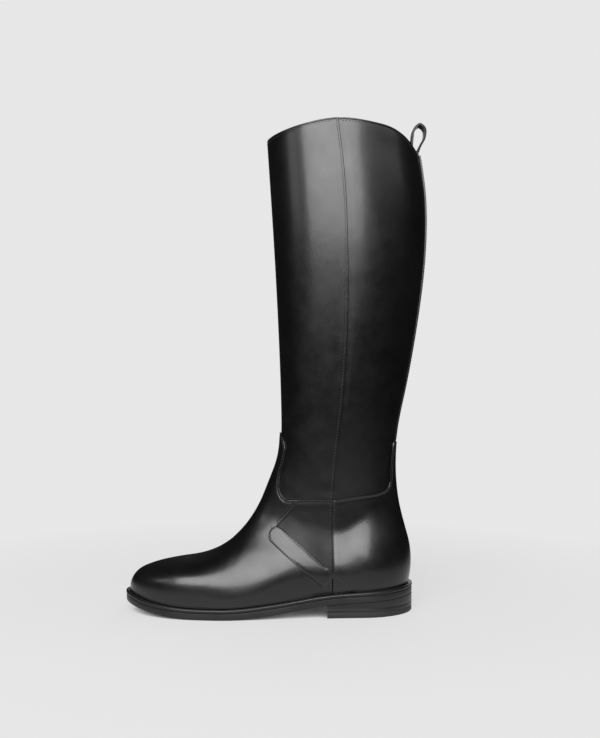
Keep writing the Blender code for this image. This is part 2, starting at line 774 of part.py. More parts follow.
def make_zip():
    frame = new_empty("zip_frame", bpy.data.objects["boot_middle"])
    frame.matrix_basis = zip_matrix(SLIDER_REST)
    bottom, top = along_zip(ZIP_BOTTOM), along_zip(ZIP_TOP)
    stops = (top + STOP_GAP, top + 3)
    for name, sign in (("rear", 1), ("front", -1)):
        tape, teeth, stop = (
            tuple(sorted((sign * low, sign * high))) for (low, high), _ in (TAPE, TEETH, TOP_STOP)
        )
        bar(f"zip_tape_{name}", tape, TAPE[1], (bottom - 3, top + 3), BLACK, frame)
        bar(f"zip_row_{name}", teeth, TEETH[1], (bottom, top), STEEL, frame, 1.0)
        bar(f"zip_top_stop_{name}", stop, TOP_STOP[1], stops, STEEL, frame, 1.0, STOP_BEVEL)
    stops = (bottom - 3 - STOP_GAP, bottom - STOP_GAP)
    bar("zip_bottom_stop", *BOTTOM_STOP, stops, STEEL, frame, 1.0, STOP_BEVEL)
    bar("zip_guard", *GUARD, (bottom - 4, top - 8), BLACK, frame)
    make_slider(frame)
    return frame


def make_slider(frame):
    """The slider: outer plate, post between the rows, inner plate and the bridge that holds the pull."""
    slider = bar("zip_slider", (-4.6, 4.6), (-0.3, 0.9), (-6.5, 6.5), STEEL, frame, 1.0)
    parts = [
        ((-0.3, 0.3), (-4.5, 0.5), (-3.0, 3.0)),
        ((-4.2, 4.2), (-4.9, -3.8), (-6.0, 6.0)),
        ((-0.8, 0.8), (0.5, 4.6), (-2.4, -1.4)),
        ((-0.8, 0.8), (0.5, 4.6), (3.4, 4.4)),
        ((-0.8, 0.8), (3.7, 4.6), (-2.2, 4.2)),
    ]
    for number, limits in enumerate(parts):
        piece = bar(f"slider_part_{number}", *limits, STEEL, frame)
        hide_cutter(piece)
        join = slider.modifiers.new(f"part_{number}", "BOOLEAN")
        join.operation = "UNION"
        join.object = piece
    hinge = new_empty("pull_hinge", frame)
    hinge.location = Vector((0, PULL_HINGE, 1.0)) * MM
    make_pull(hinge)


def make_pull(hinge):
    """A flat tab with a slot, hung on the bridge by its top bar."""
    curve = bpy.data.curves.new("zip_pull", "CURVE")
    curve.dimensions = "2D"
    curve.fill_mode = "BOTH"
    curve.extrude = 0.5 * MM
    tab = [(-2.6, 0.5), (2.6, 0.5), (2.6, -7.0), (3.4, -20.0), (2.4, -23.5), (-2.4, -23.5), (-3.4, -20.0),
           (-2.6, -7.0)]
    slot = [(-1.4, -0.5), (-1.4, -5.2), (1.4, -5.2), (1.4, -0.5)]
    for points in (tab, slot):
        line = curve.splines.new("POLY")
        line.points.add(len(points) - 1)
        line.use_cyclic_u = True
        for spot, (x, y) in zip(line.points, points):
            spot.co = (x * MM, y * MM, 0, 1)
    drawn = bpy.data.objects.new("pull_outline", curve)
    bpy.data.collections["riding_boot"].objects.link(drawn)
    graph = bpy.context.evaluated_depsgraph_get()
    mesh = bpy.data.meshes.new_from_object(drawn.evaluated_get(graph))
    bpy.data.objects.remove(drawn)
    shape = bmesh.new()
    shape.from_mesh(mesh)
    bmesh.ops.remove_doubles(shape, verts=shape.verts, dist=1e-6)
    bmesh.ops.recalc_face_normals(shape, faces=shape.faces)
    shape.to_mesh(mesh)
    shape.free()
    pull = new_object("zip_pull", mesh, STEEL, 0.35, 1.0)
    pull.parent = hinge
    pull.rotation_euler = (math.pi / 2, 0, 0)
    return pull


def main():
    clear_scene()
    for name in ("riding_boot", "cutters"):
        bpy.context.scene.collection.children.link(bpy.data.collections.new(name))
    new_empty("boot_middle").location = -MIDDLE * MM
    make_welt()
    make_bottom()
    make_shank()
    make_heel()
    make_vamp()
    make_heel_quarter()
    make_ankle_panel()
    make_instep_strap()
    make_toe_puff()
    make_heel_counter()
    make_foot_lining()
    make_shaft_front()
    make_shaft_rear()
    make_back_stay()
    make_shaft_lining()
    make_pull_loop()
    make_zip()


main()
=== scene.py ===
"""The looks of a tall black riding boot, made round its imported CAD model.

Lengths are millimetres until a mesh is made. The toe points to -Y and the outer side is +X.
"""

import math

import bmesh
import bpy
import numpy as np
from mathutils import Matrix, Vector, kdtree


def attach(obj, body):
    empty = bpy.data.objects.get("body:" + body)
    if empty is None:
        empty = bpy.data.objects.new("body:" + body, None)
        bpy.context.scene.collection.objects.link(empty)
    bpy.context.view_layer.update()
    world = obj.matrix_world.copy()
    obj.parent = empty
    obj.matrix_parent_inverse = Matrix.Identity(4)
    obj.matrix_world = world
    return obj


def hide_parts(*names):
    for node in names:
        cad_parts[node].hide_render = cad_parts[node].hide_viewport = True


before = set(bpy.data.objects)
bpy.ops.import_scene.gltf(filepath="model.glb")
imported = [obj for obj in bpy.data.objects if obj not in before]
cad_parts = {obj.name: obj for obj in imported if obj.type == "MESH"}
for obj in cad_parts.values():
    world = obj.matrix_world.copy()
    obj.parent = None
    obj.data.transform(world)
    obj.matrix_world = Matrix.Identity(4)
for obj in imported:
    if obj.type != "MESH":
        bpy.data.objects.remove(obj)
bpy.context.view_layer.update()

MM = 0.001
MIDDLE = np.array([-0.55, 1.23, 0.0])  # this point of the outlines below lies at the origin

# Side outline of the leather as (y, z), and half widths: the same lines as the CAD model's.
FRONT_LINE = [
    (-138.4, 18.5), (-137.9, 26.5), (-132.4, 35.4), (-119.0, 41.6), (-92.0, 47.4), (-71.9, 50.6),
    (-56.0, 56.4), (-38.4, 68.3), (-15.8, 97.7), (-6.0, 121.0), (2.6, 144.4), (5.2, 164.0),
    (5.2, 195.0), (3.1, 256.7), (-1.7, 349.3), (-8.5, 452.0),
]
BACK_LINE = [
    (124.6, 20.0), (128.3, 41.0), (127.6, 61.0), (122.4, 81.0), (117.0, 103.0), (114.0, 133.2),
    (116.0, 171.8), (125.6, 218.1), (136.3, 279.9), (143.6, 341.6), (144.0, 395.7), (138.5, 437.0),
]
FEATHER_LINE = [
    (-145.0, 19.5), (-115.0, 13.0), (-85.0, 9.9), (-60.0, 9.4), (-40.0, 9.6), (-10.0, 12.4),
    (13.0, 15.5), (48.0, 21.0), (87.0, 23.4), (135.0, 26.5),
]
TOP_LINE = [
    (-10.0, 449.5), (25.0, 457.5), (58.8, 462.2), (90.0, 459.2), (112.0, 454.2), (124.0, 447.2),
    (131.0, 440.6), (136.0, 436.2), (141.0, 434.4),
]
SIDE_SEAM = [
    (53.5, 18.0), (53.5, 95.0), (57.4, 145.0), (63.3, 200.0), (67.9, 285.0), (67.9, 339.0),
    (64.6, 413.0), (58.8, 462.0),
]
FOOT_OUTER = [
    (-140, 33), (-100, 39.2), (-60, 44.6), (-40, 45.2), (-10, 43.0), (20, 39.6), (60, 36.0), (132, 32.8),
]
FOOT_INNER = [
    (-140, 34), (-100, 38.8), (-65, 42.2), (-40, 40.7), (-10, 34.3), (20, 29.6), (50, 29.6), (132, 32.2),
]
SHAFT_OUTER = [
    (15, 26.2), (60, 25.0), (90, 24.0), (107, 24.8), (145, 29.0), (200, 35.5), (260, 40.5), (330, 44),
    (462, 44.5),
]
TOE_CAP = 60.0  # how far back the toe's rounding reaches
NOSE_REACH = 70.0  # how far the shaft's front rounding reaches back, and how softly that ends
REACH_SOFTNESS = 25.0
NOSE_FOOT = 62.0  # below this height the shaft's front runs on straight, with this slope
NOSE_SLOPE = 1.45
HEEL_MIDDLE = 84.0  # y of the heel's widest part
FAIRING = 400  # smoothing passes
ZIP_FOOT = np.array([-27.0, 57.8, 70.0])
ZIP_HEAD = np.array([-46.0, 66.0, 440.0])
ZIP_WINDOW = 6.5
ZIP_BOTTOM = 76.0
ZIP_TOP = 446.0
SLIDER_REST = 438.0
PULL_HINGE = 2.4
SEAT_HEIGHT = 18.0
RIM_HEIGHT = 450.0
TAB_BASE = 107.0

# Outer face of each layer, measured out from the shape, and its thickness.
OVERLAY_FACE, OVERLAY_THICK = 1.6, 1.2
SHAFT_FACE, SHAFT_THICK = 0.0, 1.4
LINING_FACE, FOOT_LINING_FACE, LINING_THICK = -1.75, -1.9, 1.0
FOOT_LINING_CELL = 5.0
STRAP_FACE, STRAP_THICK = 2.35, 0.9
FINE = 2.4  # size of a mesh cell
SHAFT_CELL = 2.6
BUTT = 0.002  # gap in columns between panels that meet edge to edge
FOOT_START = 18.9  # lowest row of the upper and its lining
SHAFT_START = 101.0
PANEL_TOP = 107.4  # upper edge of the ankle panel
EDGE_MARKS = [0.0, 0.25, 0.55, 0.95, 1.5, 2.2, 3.2, 4.6]  # points this far from a panel's edge


# The shape of the boot


def smooth_line(points, steps=60):
    """Points along a smooth curve through these, as two arrays."""
    given = [np.array(p, float) for p in points]
    ends = [2 * given[0] - given[1]] + given + [2 * given[-1] - given[-2]]
    u = (np.arange(steps) / steps)[:, None]
    found = []
    for a, b, c, d in zip(ends, ends[1:], ends[2:], ends[3:]):
        before, here, after = (max(np.linalg.norm(q - p), 1e-6) for p, q in ((a, b), (b, c), (c, d)))
        leave = ((b - a) / before * here + (c - b) * before / here) / (before + here)
        reach = ((d - c) / after * here + (c - b) * after / here) / (after + here)
        start = (2 * u**3 - 3 * u**2 + 1) * b + (u**3 - 2 * u**2 + u) * here * leave
        found.append(start + (3 * u**2 - 2 * u**3) * c + (u**3 - u**2) * here * reach)
    found = np.vstack(found + [given[-1][None, :]])
    return found[:, 0], found[:, 1]


def fair_line(points):
    """A smooth line with its changes of curvature evened out."""
    line = np.stack(smooth_line(points), -1)
    for _ in range(FAIRING):
        line[1:-1] = (line[:-2] + 2 * line[1:-1] + line[2:]) / 4
    return line[:, 0], line[:, 1]


FRONT = fair_line(FRONT_LINE)
BACK = fair_line(BACK_LINE)
FEATHER = fair_line(FEATHER_LINE)
RIM = smooth_line(TOP_LINE)
SEAM = smooth_line(SIDE_SEAM)
OUTER = fair_line(FOOT_OUTER)
INNER = fair_line(FOOT_INNER)
CALF = fair_line(SHAFT_OUTER)
RIDGE = [np.append(line[FRONT[1] < 145], end) for line, end in zip(FRONT, (62.6, 306.0))]


def ease(value, low, high):
    u = np.clip((value - low) / (high - low), 0, 1)
    return u * u * (3 - 2 * u)


def front_y(z):
    return np.interp(z, FRONT[1], FRONT[0])


def back_y(z):
    return np.interp(z, BACK[1], BACK[0])


def nose_y(z):
    """The front line, carried on straight below the instep."""
    return front_y(np.maximum(z, NOSE_FOOT)) - NOSE_SLOPE * np.maximum(NOSE_FOOT - z, 0.0)


def ridge_z(y):
    return np.maximum(np.interp(y, *RIDGE), 26.0)


def feather_z(y):
    return np.interp(y, FEATHER[0], FEATHER[1])


def seam_y(z):
    return np.interp(z, SEAM[1], SEAM[0])


def zip_point(z):
    """x and y of the zip's middle line."""
    share = (z - ZIP_FOOT[2]) / (ZIP_HEAD[2] - ZIP_FOOT[2])
    return ZIP_FOOT[:2] + np.multiply.outer(share, (ZIP_HEAD - ZIP_FOOT)[:2])


def zip_y(z):
    return zip_point(z)[..., 1]


def square_width(side, y, z):
    """The square of the half width. It runs on below zero outside the outline.

    The foot (fore) and the shaft with the heel (hind) are two shapes, blended over the instep.
    """
    outer = side > 0
    foot = np.where(outer, np.interp(y, OUTER[0], OUTER[1]), np.interp(y, INNER[0], INNER[1]))
    shaft = np.where(outer, np.interp(z, CALF[0], CALF[1]), -zip_point(z)[..., 0])
    slope_foot = 14 + 24 * ease(y, -60, 40) + 8 * ease(y, 70, 110)
    slope_head = 93 - 11 * ease(y, 10, 55) + 28 * ease(y, 60, 105)
    low = np.where(outer, ease(z, slope_foot, slope_head), ease(z, 25, 68))
    middle_outer = HEEL_MIDDLE + ease(z, 40, 107) * ((nose_y(z) + back_y(z)) / 2 - HEEL_MIDDLE)
    middle_inner = HEEL_MIDDLE + ease(z, 28, 68) * (zip_y(z) - HEEL_MIDDLE)
    middle = np.where(outer, middle_outer, middle_inner)
    height = z - feather_z(y)
    round_off = 1 - np.maximum(1 - (y + 138.4) / TOE_CAP, 0.0) ** 2.4
    rise = np.minimum(np.maximum(height, 0.0) / (ridge_z(y) - feather_z(y)), 1.2)
    boxy = 2.6 + 2.4 * (1 - ease(y, -95, -35))
    slim = low * ease(y, -70, -5)
    fore = (foot + slim * (shaft - foot)) ** 2 * round_off * (1 - rise**boxy)
    width = foot + low * (shaft - foot)
    reach = middle - nose_y(z)
    beyond = reach - NOSE_REACH
    reach = reach - 0.375 * (beyond + np.sqrt(beyond**2 + REACH_SOFTNESS**2))
    ahead = 1 - np.maximum(1 - (y - nose_y(z)) / np.maximum(reach, 1.0), 0.0) ** 2
    behind = 1 - np.maximum(1 - (back_y(z) - y) / (back_y(z) - middle), 0.0) ** 2
    hind = width**2 * np.minimum(ahead, 1.0) * np.minimum(behind, 1.0)
    shin = ease(z, 55, 90)
    share = 1 - (1 - ease(y, -50 - 8 * shin, 20 - 20 * shin)) * (1 - ease(z, 80, 130))
    tuck = 1 - 0.07 * np.maximum(1 - height / 9.0, 0.0) ** 2
    return (fore + share * (hind - fore)) * tuck


def level(height, y):
    """The height of a row of the leather at y. The lowest and highest rows follow their edges."""
    low = np.maximum(1 - (height - SEAT_HEIGHT) / 40, 0.0) ** 1.5
    high = ease(height, 330, RIM_HEIGHT)
    rim = np.interp(y, RIM[0], RIM[1])
    return height + (feather_z(y) - SEAT_HEIGHT) * low + (rim - RIM_HEIGHT) * high


def meet(line, height):
    """Where a row of the leather meets a line given as y at each z."""
    low, high = np.full(np.shape(height), -150.0), np.full(np.shape(height), 150.0)
    for _ in range(34):
        middle = (low + high) / 2
        before = middle < line(level(height, middle))
        low, high = np.where(before, middle, low), np.where(before, high, middle)
    return (low + high) / 2


ROW_TABLE = np.arange(15.0, 456.0, 0.25)
ROW_ENDS = [meet(line, ROW_TABLE) for line in (front_y, seam_y, zip_y, back_y)]


def row_ends(outer, height):
    front, seam, zipper, back = (np.interp(height, ROW_TABLE, ends) for ends in ROW_ENDS)
    return front, np.where(outer, seam, zipper), back


def place(column, height):
    """Side, y and z. Column 0 is the front, 1 the side seam, 2 the back, 3 the zip and 4 the front."""
    column = np.where(column > 2, column - 4, column)
    side = np.where(column >= 0, 1, -1)
    front, split, back = row_ends(side > 0, height)
    along = np.abs(column)
    fore = front + (split - front) * (1 - np.cos(along * np.pi / 2))
    hind = back - (back - split) * (1 - np.sin((along - 1) * np.pi / 2))
    y = np.where(along <= 1, fore, hind)
    return side, y, level(height, y)


def column_at(side, y, height):
    """The column of a given y on one side."""
    front, split, back = row_ends(side > 0, height)
    fore = np.arccos(np.clip(1 - (y - front) / (split - front), -1, 1)) * 2 / np.pi
    hind = 1 + np.arcsin(np.clip(1 - (back - y) / (back - split), 0, 1)) * 2 / np.pi
    return side * np.where(y <= split, fore, hind)


def skin(side, y, z):
    """Points on the boot's shape and the normals there."""
    step = 0.2
    x = side * np.sqrt(np.maximum(square_width(side, y, z), 0.0))
    slope_y = (square_width(side, y + step, z) - square_width(side, y - step, z)) / (2 * step)
    slope_z = (square_width(side, y, z + step) - square_width(side, y, z - step)) / (2 * step)
    normal = np.stack([2 * x, -slope_y, -slope_z], -1)
    normal /= np.linalg.norm(normal, axis=-1, keepdims=True)
    return np.stack([x, y + 0 * x, z + 0 * x], -1), normal


def on_skin(column, height):
    column, height = np.broadcast_arrays(np.asarray(column, float), np.asarray(height, float))
    return skin(*place(column, height))


def window_edge(height, reach):
    """Column of a line beside the zip. Below the zip the two sides close up."""
    middle = zip_y(level(height, 60.0))
    half = 0.3 + ease(height, 58, 70) * (abs(reach) - 0.3)
    return column_at(-1, middle + math.copysign(1, reach) * half, height)


# Meshes


def spread(start, stop, heights, step=FINE, marks=EDGE_MARKS):
    """Columns of a panel's points, row by row, closer together at its two side edges."""
    share = np.linspace(0, 1, 121)
    columns = start[:, None] + (stop - start)[:, None] * share
    points, _ = on_skin(columns, heights[:, None])
    run = np.zeros(columns.shape)
    run[:, 1:] = np.cumsum(np.linalg.norm(np.diff(points, axis=1), axis=2), axis=1)
    total = run[:, -1]
    marks = np.array(marks)
    count = max(int(total.max() / step), 4)
    rows = []
    for one_run, one_total, one_columns in zip(run, total, columns):
        edge = marks * min(1.0, one_total / (3 * marks[-1]))
        middle = np.linspace(edge[-1], one_total - edge[-1], count + 1)[1:-1]
        spots = np.concatenate([edge, middle, one_total - edge[::-1]])
        rows.append(np.interp(spots, one_run, one_columns))
    return np.array(rows)


def two_sides(start, stop, heights, step=FINE):
    """Columns of a panel that goes round the front, which gets a column of its own."""
    inner, outer = spread(start, start * 0, heights, step), spread(stop * 0, stop, heights, step)
    return np.concatenate([inner, outer[:, 1:]], axis=1)


def climb(low, high, step=FINE, low_marks=EDGE_MARKS, high_marks=EDGE_MARKS):
    """Heights from low to high, closer together at the two ends."""
    low_marks, high_marks = np.array(low_marks), np.array(high_marks)
    count = max(int((high - low - low_marks[-1] - high_marks[-1]) / step), 2)
    middle = np.linspace(low + low_marks[-1], high - high_marks[-1], count + 1)[1:-1]
    return np.concatenate([low + low_marks, middle, high - high_marks[::-1]])


def foot_heights(low, high, step=FINE):
    """Heights whose rows lie evenly along the top of the foot as well as up its side."""
    z = np.arange(low, high + 0.01, 0.05)
    run = np.concatenate([[0], np.cumsum(np.hypot(np.diff(front_y(z)), np.diff(z)))])
    count = int(run[-1] / step)
    return np.interp(np.linspace(0, run[-1], count + 1), run, z)


def weave(blocks):
    """One list of points, normals and quads from blocks of (points, normals) rows that share edges."""
    points, normals, faces, known = [], [], [], {}
    for block_points, block_normals in blocks:
        rows, width = block_points.shape[:2]
        index = np.zeros((rows, width), int)
        for i in range(rows):
            for j in range(width):
                key = tuple(np.round(block_points[i, j], 3))
                if key not in known:
                    known[key] = len(points)
                    points.append(block_points[i, j])
                    normals.append(block_normals[i, j])
                index[i, j] = known[key]
        quads = np.stack([index[:-1, :-1], index[:-1, 1:], index[1:, 1:], index[1:, :-1]], -1)
        faces += [tuple(dict.fromkeys(q)) for q in quads.reshape(-1, 4).tolist()]
    return np.array(points), np.array(normals), [f for f in faces if len(f) > 2]


def rim_edges(faces):
    """Directed edges that only one face has."""
    edges = {}
    for face in faces:
        for a, b in zip(face, face[1:] + face[:1]):
            edges[(a, b)] = True
    return [(a, b) for a, b in edges if (b, a) not in edges]


def edge_distance(points, spots, reach=9.0):
    """Distance from each point to the nearest of the spots, up to reach."""
    tree = kdtree.KDTree(len(spots))
    for i, spot in enumerate(spots):
        tree.insert(spot, i)
    tree.balance()
    return np.array([min(tree.find(p)[2], reach) for p in points])


def rolled(distance, radius=0.55):
    """How far a cut edge of leather rounds down at this distance from it."""
    inside = np.clip(1 - distance / radius, 0, 1)
    return -radius * 0.9 * (1 - np.sqrt(1 - inside**2))


def sewn(distance, offset=2.0, depth=0.30):
    """The shallow channel that a row of stitches pulls into leather."""
    return -depth * np.exp(-(((distance - offset) / 0.85) ** 2))


def link(name, mesh):
    obj = bpy.data.objects.new(name, mesh)
    bpy.context.scene.collection.objects.link(obj)
    return obj


def make_mesh(name, points, faces, sharp=50.0):
    mesh = bpy.data.meshes.new(name)
    mesh.from_pydata(((points - MIDDLE) * MM).tolist(), [], faces)
    mesh.validate()
    mesh.shade_smooth()
    mesh.set_sharp_from_angle(angle=math.radians(sharp))
    return mesh


def leather_sheet(name, blocks, face, thickness, open_edge=None, shape=None, stitched=2.0, roll=0.55):
    """A closed sheet with rolled edges. open_edge says which rim points are cut edges that show."""
    points, normals, faces = weave(blocks)
    rim = rim_edges(faces)
    ends = np.array([points[a] for a, _ in rim])
    shown = ends if open_edge is None else ends[open_edge(ends)]
    lift = np.full(len(points), float(face))
    if len(shown):
        nexts = np.array([points[b] for _, b in rim])
        nexts = nexts if open_edge is None else nexts[open_edge(ends)]
        spots = np.vstack([shown + (nexts - shown) * t for t in (0.0, 0.25, 0.5, 0.75)])
        distance = edge_distance(points, spots)
        lift += rolled(distance, roll)
        if stitched:
            lift += sewn(distance, stitched)
    if shape is not None:
        lift += shape(points, normals)
    outer = points + normals * lift[:, None]
    inner = points + normals * (face - thickness)
    count = len(points)
    faces_in = [tuple(i + count for i in reversed(f)) for f in faces]
    sides = [(b, a, a + count, b + count) for a, b in rim]
    return link(name, make_mesh(name, np.vstack([outer, inner]), faces + faces_in + sides))


def facing_out(points, normals):
    """The same rows, in the order that makes their faces point along the normals."""
    turn = np.cross(points[0, 1] - points[0, 0], points[1, 0] - points[0, 0]) @ normals[0, 0]
    return (points[::-1], normals[::-1]) if turn < 0 else (points, normals)


def block(columns, heights):
    return on_skin(columns, heights[:, None] if np.ndim(heights) == 1 else heights)


# Stitches


def stitch_path(columns, heights, lift):
    """Points and normals of a line on the boot, at a lift above its shape."""
    points, normals = on_skin(np.asarray(columns, float), np.asarray(heights, float))
    return points + normals * np.asarray(lift, float)[..., None], normals


def even(path, normals, pitch):
    """Points, normals and directions at an even pitch along a path."""
    run = np.concatenate([[0], np.cumsum(np.linalg.norm(np.diff(path, axis=0), axis=1))])
    count = max(int(run[-1] / pitch), 1)
    spots = (np.arange(count) + 0.5) * run[-1] / count
    at = np.stack([np.interp(spots, run, path[:, k]) for k in range(3)], -1)
    up = np.stack([np.interp(spots, run, normals[:, k]) for k in range(3)], -1)
    ahead = np.stack([np.interp(spots + 0.3, run, path[:, k]) for k in range(3)], -1)
    back = np.stack([np.interp(spots - 0.3, run, path[:, k]) for k in range(3)], -1)
    along = ahead - back
    along /= np.linalg.norm(along, axis=1, keepdims=True)
    up -= along * (up * along).sum(1, keepdims=True)
    up /= np.linalg.norm(up, axis=1, keepdims=True)
    return at, up, along


STITCH_SECTIONS = [  # place along it, share of its radius, and rise
    (-0.5, 0.35, -0.32), (-0.36, 0.85, -0.05), (0.0, 1.0, 0.06), (0.36, 0.85, -0.05), (0.5, 0.35, -0.32),
]
STITCH_SIDES = 6


def stitches(name, rows, pitch=2.8, length=1.75, radius=0.42, slant=0.12):
    """Rows of short raised stitches, each a small rounded bar that dips at both ends."""
    points, faces = [], []
    for path, normals in rows:
        at, up, along = even(path, normals, pitch)
        across = np.cross(along, up)
        turned = along * math.cos(slant) + across * math.sin(slant)
        across = np.cross(turned, up)
        for centre, out, run, side in zip(at, up, turned, across):
            base = len(points)
            for step, size, rise in STITCH_SECTIONS:
                middle = centre + run * step * length + out * rise
                for k in range(STITCH_SIDES):
                    turn = 2 * math.pi * k / STITCH_SIDES
                    offset = side * math.cos(turn) + out * math.sin(turn)
                    points.append(middle + offset * radius * size)
            faces += bar_faces(base, len(STITCH_SECTIONS), STITCH_SIDES)
    mesh = make_mesh(name, np.array(points), faces, 80)
    obj = link(name, mesh)
    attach(obj, "boot")
    obj.data.materials.append(THREAD)
    return obj


def tube_faces(here, there, sides):
    """Faces between two rings of points that start at here and there."""
    return [
        (here + k, there + k, there + (k + 1) % sides, here + (k + 1) % sides) for k in range(sides)
    ]


def bar_faces(base, sections, sides):
    """Faces of a bar made of rings of points, with both ends closed."""
    faces = []
    for s in range(sections - 1):
        faces += tube_faces(base + s * sides, base + (s + 1) * sides, sides)
    faces.append(tuple(base + k for k in range(sides)))
    faces.append(tuple(base + (sections - 1) * sides + k for k in reversed(range(sides))))
    return faces


# Materials


def fill(tree, node, inputs):
    """Sets a node's inputs. Each is a value or another node's output."""
    for name, value in inputs.items():
        if isinstance(value, bpy.types.NodeSocket):
            tree.links.new(value, node.inputs[name])
        else:
            node.inputs[name].default_value = value


def add_node(tree, kind, inputs, **settings):
    node = tree.nodes.new("ShaderNode" + kind)
    for name, value in settings.items():
        setattr(node, name, value)
    fill(tree, node, inputs)
    return node


def new_material(name):
    material = bpy.data.materials.new(name)
    material.use_nodes = True
    tree = material.node_tree
    return material, tree, tree.nodes["Principled BSDF"], add_node(tree, "TexCoord", {}).outputs["Object"]


def noise(tree, where, scale, detail=3.0, roughness=0.5, stretch=None):
    if stretch is not None:
        where = add_node(tree, "Mapping", {"Scale": stretch, "Vector": where}).outputs["Vector"]
    look = {"Scale": scale, "Detail": detail, "Roughness": roughness, "Vector": where}
    return add_node(tree, "TexNoise", look).outputs["Fac"]


def ramp(tree, value, low, high, start=0.0, stop=1.0):
    """Maps value from low..high to start..stop."""
    limits = {"From Min": low, "From Max": high, "To Min": start, "To Max": stop}
    return add_node(tree, "MapRange", {**limits, "Value": value}).outputs["Result"]


def product(tree, first, second):
    return add_node(tree, "Math", {0: first, 1: second}, operation="MULTIPLY").outputs[0]


def blend_colours(tree, share, first, second):
    """A mix of two colours. The first may be another node's output."""
    first = first if isinstance(first, bpy.types.NodeSocket) else (*first, 1)
    inputs = {"A": first, "B": (*second, 1), "Factor": share}
    return add_node(tree, "Mix", inputs, data_type="RGBA").outputs["Result"]


def bump(tree, height, distance, strength, below=None):
    inputs = {"Distance": distance * MM, "Strength": strength, "Height": height}
    if below is not None:
        inputs["Normal"] = below
    return add_node(tree, "Bump", inputs).outputs["Normal"]


def rubbed(tree, colour, bright):
    """The colour, with sharp outer edges rubbed bright."""
    sharpness = add_node(tree, "NewGeometry", {}).outputs["Pointiness"]
    return blend_colours(tree, ramp(tree, sharpness, 0.52, 0.60), colour, bright)


def leather(name, dark, light, roughness, grain=1.0, coat=0.25, soft=1.0, specular=0.5):
    """Smooth calf leather: fine pebbling, soft unevenness, patchy shine and rubbed edges."""
    material, tree, shader, where = new_material(name)
    patches = ramp(tree, noise(tree, where, 22, 4, 0.55), 0.35, 0.7)
    shine = noise(tree, where, 60, 5, 0.6)
    waves = bump(tree, noise(tree, where, 14, 2, 0.5), 2.2 * soft, 0.10)
    folds = bump(tree, noise(tree, where, 70, 3, 0.5), 0.7 * soft, 0.13, waves)
    cells = add_node(tree, "TexVoronoi", {"Scale": 900, "Vector": where}).outputs["Distance"]
    pebbles = bump(tree, cells, 0.10 * grain, 0.35, folds)
    fill(tree, shader, {
        "Base Color": rubbed(
            tree, blend_colours(tree, patches, dark, light), [min(c * 2.6 + 0.006, 1) for c in light]
        ),
        "Roughness": ramp(tree, shine, 0.25, 0.75, roughness - 0.05, roughness + 0.07),
        "Specular IOR Level": specular,
        "Coat Weight": coat,
        "Coat Roughness": 0.16,
        "Coat Normal": folds,
        "Normal": bump(tree, noise(tree, where, 2600, 3, 0.6), 0.05 * grain, 0.3, pebbles),
    })
    return material


def woven(name, dark, light, roughness, pitch=0.5, sheen=0.25):
    """A tight tape weave: two crossed sets of ribs."""
    material, tree, shader, where = new_material(name)
    look = {"Scale": 1.0 / (pitch * MM) / math.tau * 2, "Distortion": 0.4, "Vector": where}
    ribs = [add_node(tree, "TexWave", look, bands_direction=d).outputs["Fac"] for d in ("Y", "Z")]
    both = product(tree, *ribs)
    fluff = bump(tree, noise(tree, where, 1800, 3), 0.08, 0.3)
    fill(tree, shader, {
        "Base Color": blend_colours(tree, both, dark, light),
        "Roughness": roughness,
        "Sheen Weight": sheen,
        "Normal": bump(tree, both, 0.15, 0.6, fluff),
    })
    return material


def metal(name, dark, light, roughness):
    """Plated metal with fine brushing, smudges and bright rubbed edges."""
    material, tree, shader, where = new_material(name)
    smudge = noise(tree, where, 120, 4, 0.6)
    colour = blend_colours(tree, ramp(tree, smudge, 0.3, 0.7), dark, light)
    brushed = noise(tree, where, 900, 2, 0.5, (1, 1, 0.05))
    fill(tree, shader, {
        "Metallic": 1.0,
        "Base Color": rubbed(tree, colour, (0.55, 0.55, 0.56)),
        "Roughness": ramp(tree, smudge, 0.2, 0.8, roughness - 0.06, roughness + 0.1),
        "Normal": bump(tree, brushed, 0.03, 0.25),
    })
    return material


def stacked(name, dark, light, roughness, line=1.6):
    """Stained, burnished sole edge: thin horizontal layers, dye patches and a satin wax shine."""
    material, tree, shader, where = new_material(name)
    layers = noise(tree, where, 1.0, 4, 0.6, (30, 30, 1000 / line))
    patches = noise(tree, where, 35, 4, 0.6)
    dye = ramp(tree, product(tree, layers, patches), 0.12, 0.42)
    fibres = bump(tree, layers, 0.12, 0.35)
    fill(tree, shader, {
        "Base Color": blend_colours(tree, dye, dark, light),
        "Roughness": ramp(tree, patches, 0.3, 0.7, roughness - 0.06, roughness + 0.1),
        "Normal": bump(tree, noise(tree, where, 1500, 3), 0.05, 0.3, fibres),
    })
    return material


def fibrous(name, dark, light, roughness):
    """Pressed board, felt or foam: speckled and matte."""
    material, tree, shader, where = new_material(name)
    specks = noise(tree, where, 900, 5, 0.7)
    fill(tree, shader, {
        "Base Color": blend_colours(tree, ramp(tree, specks, 0.35, 0.65), dark, light),
        "Roughness": roughness,
        "Normal": bump(tree, specks, 0.15, 0.5),
    })
    return material


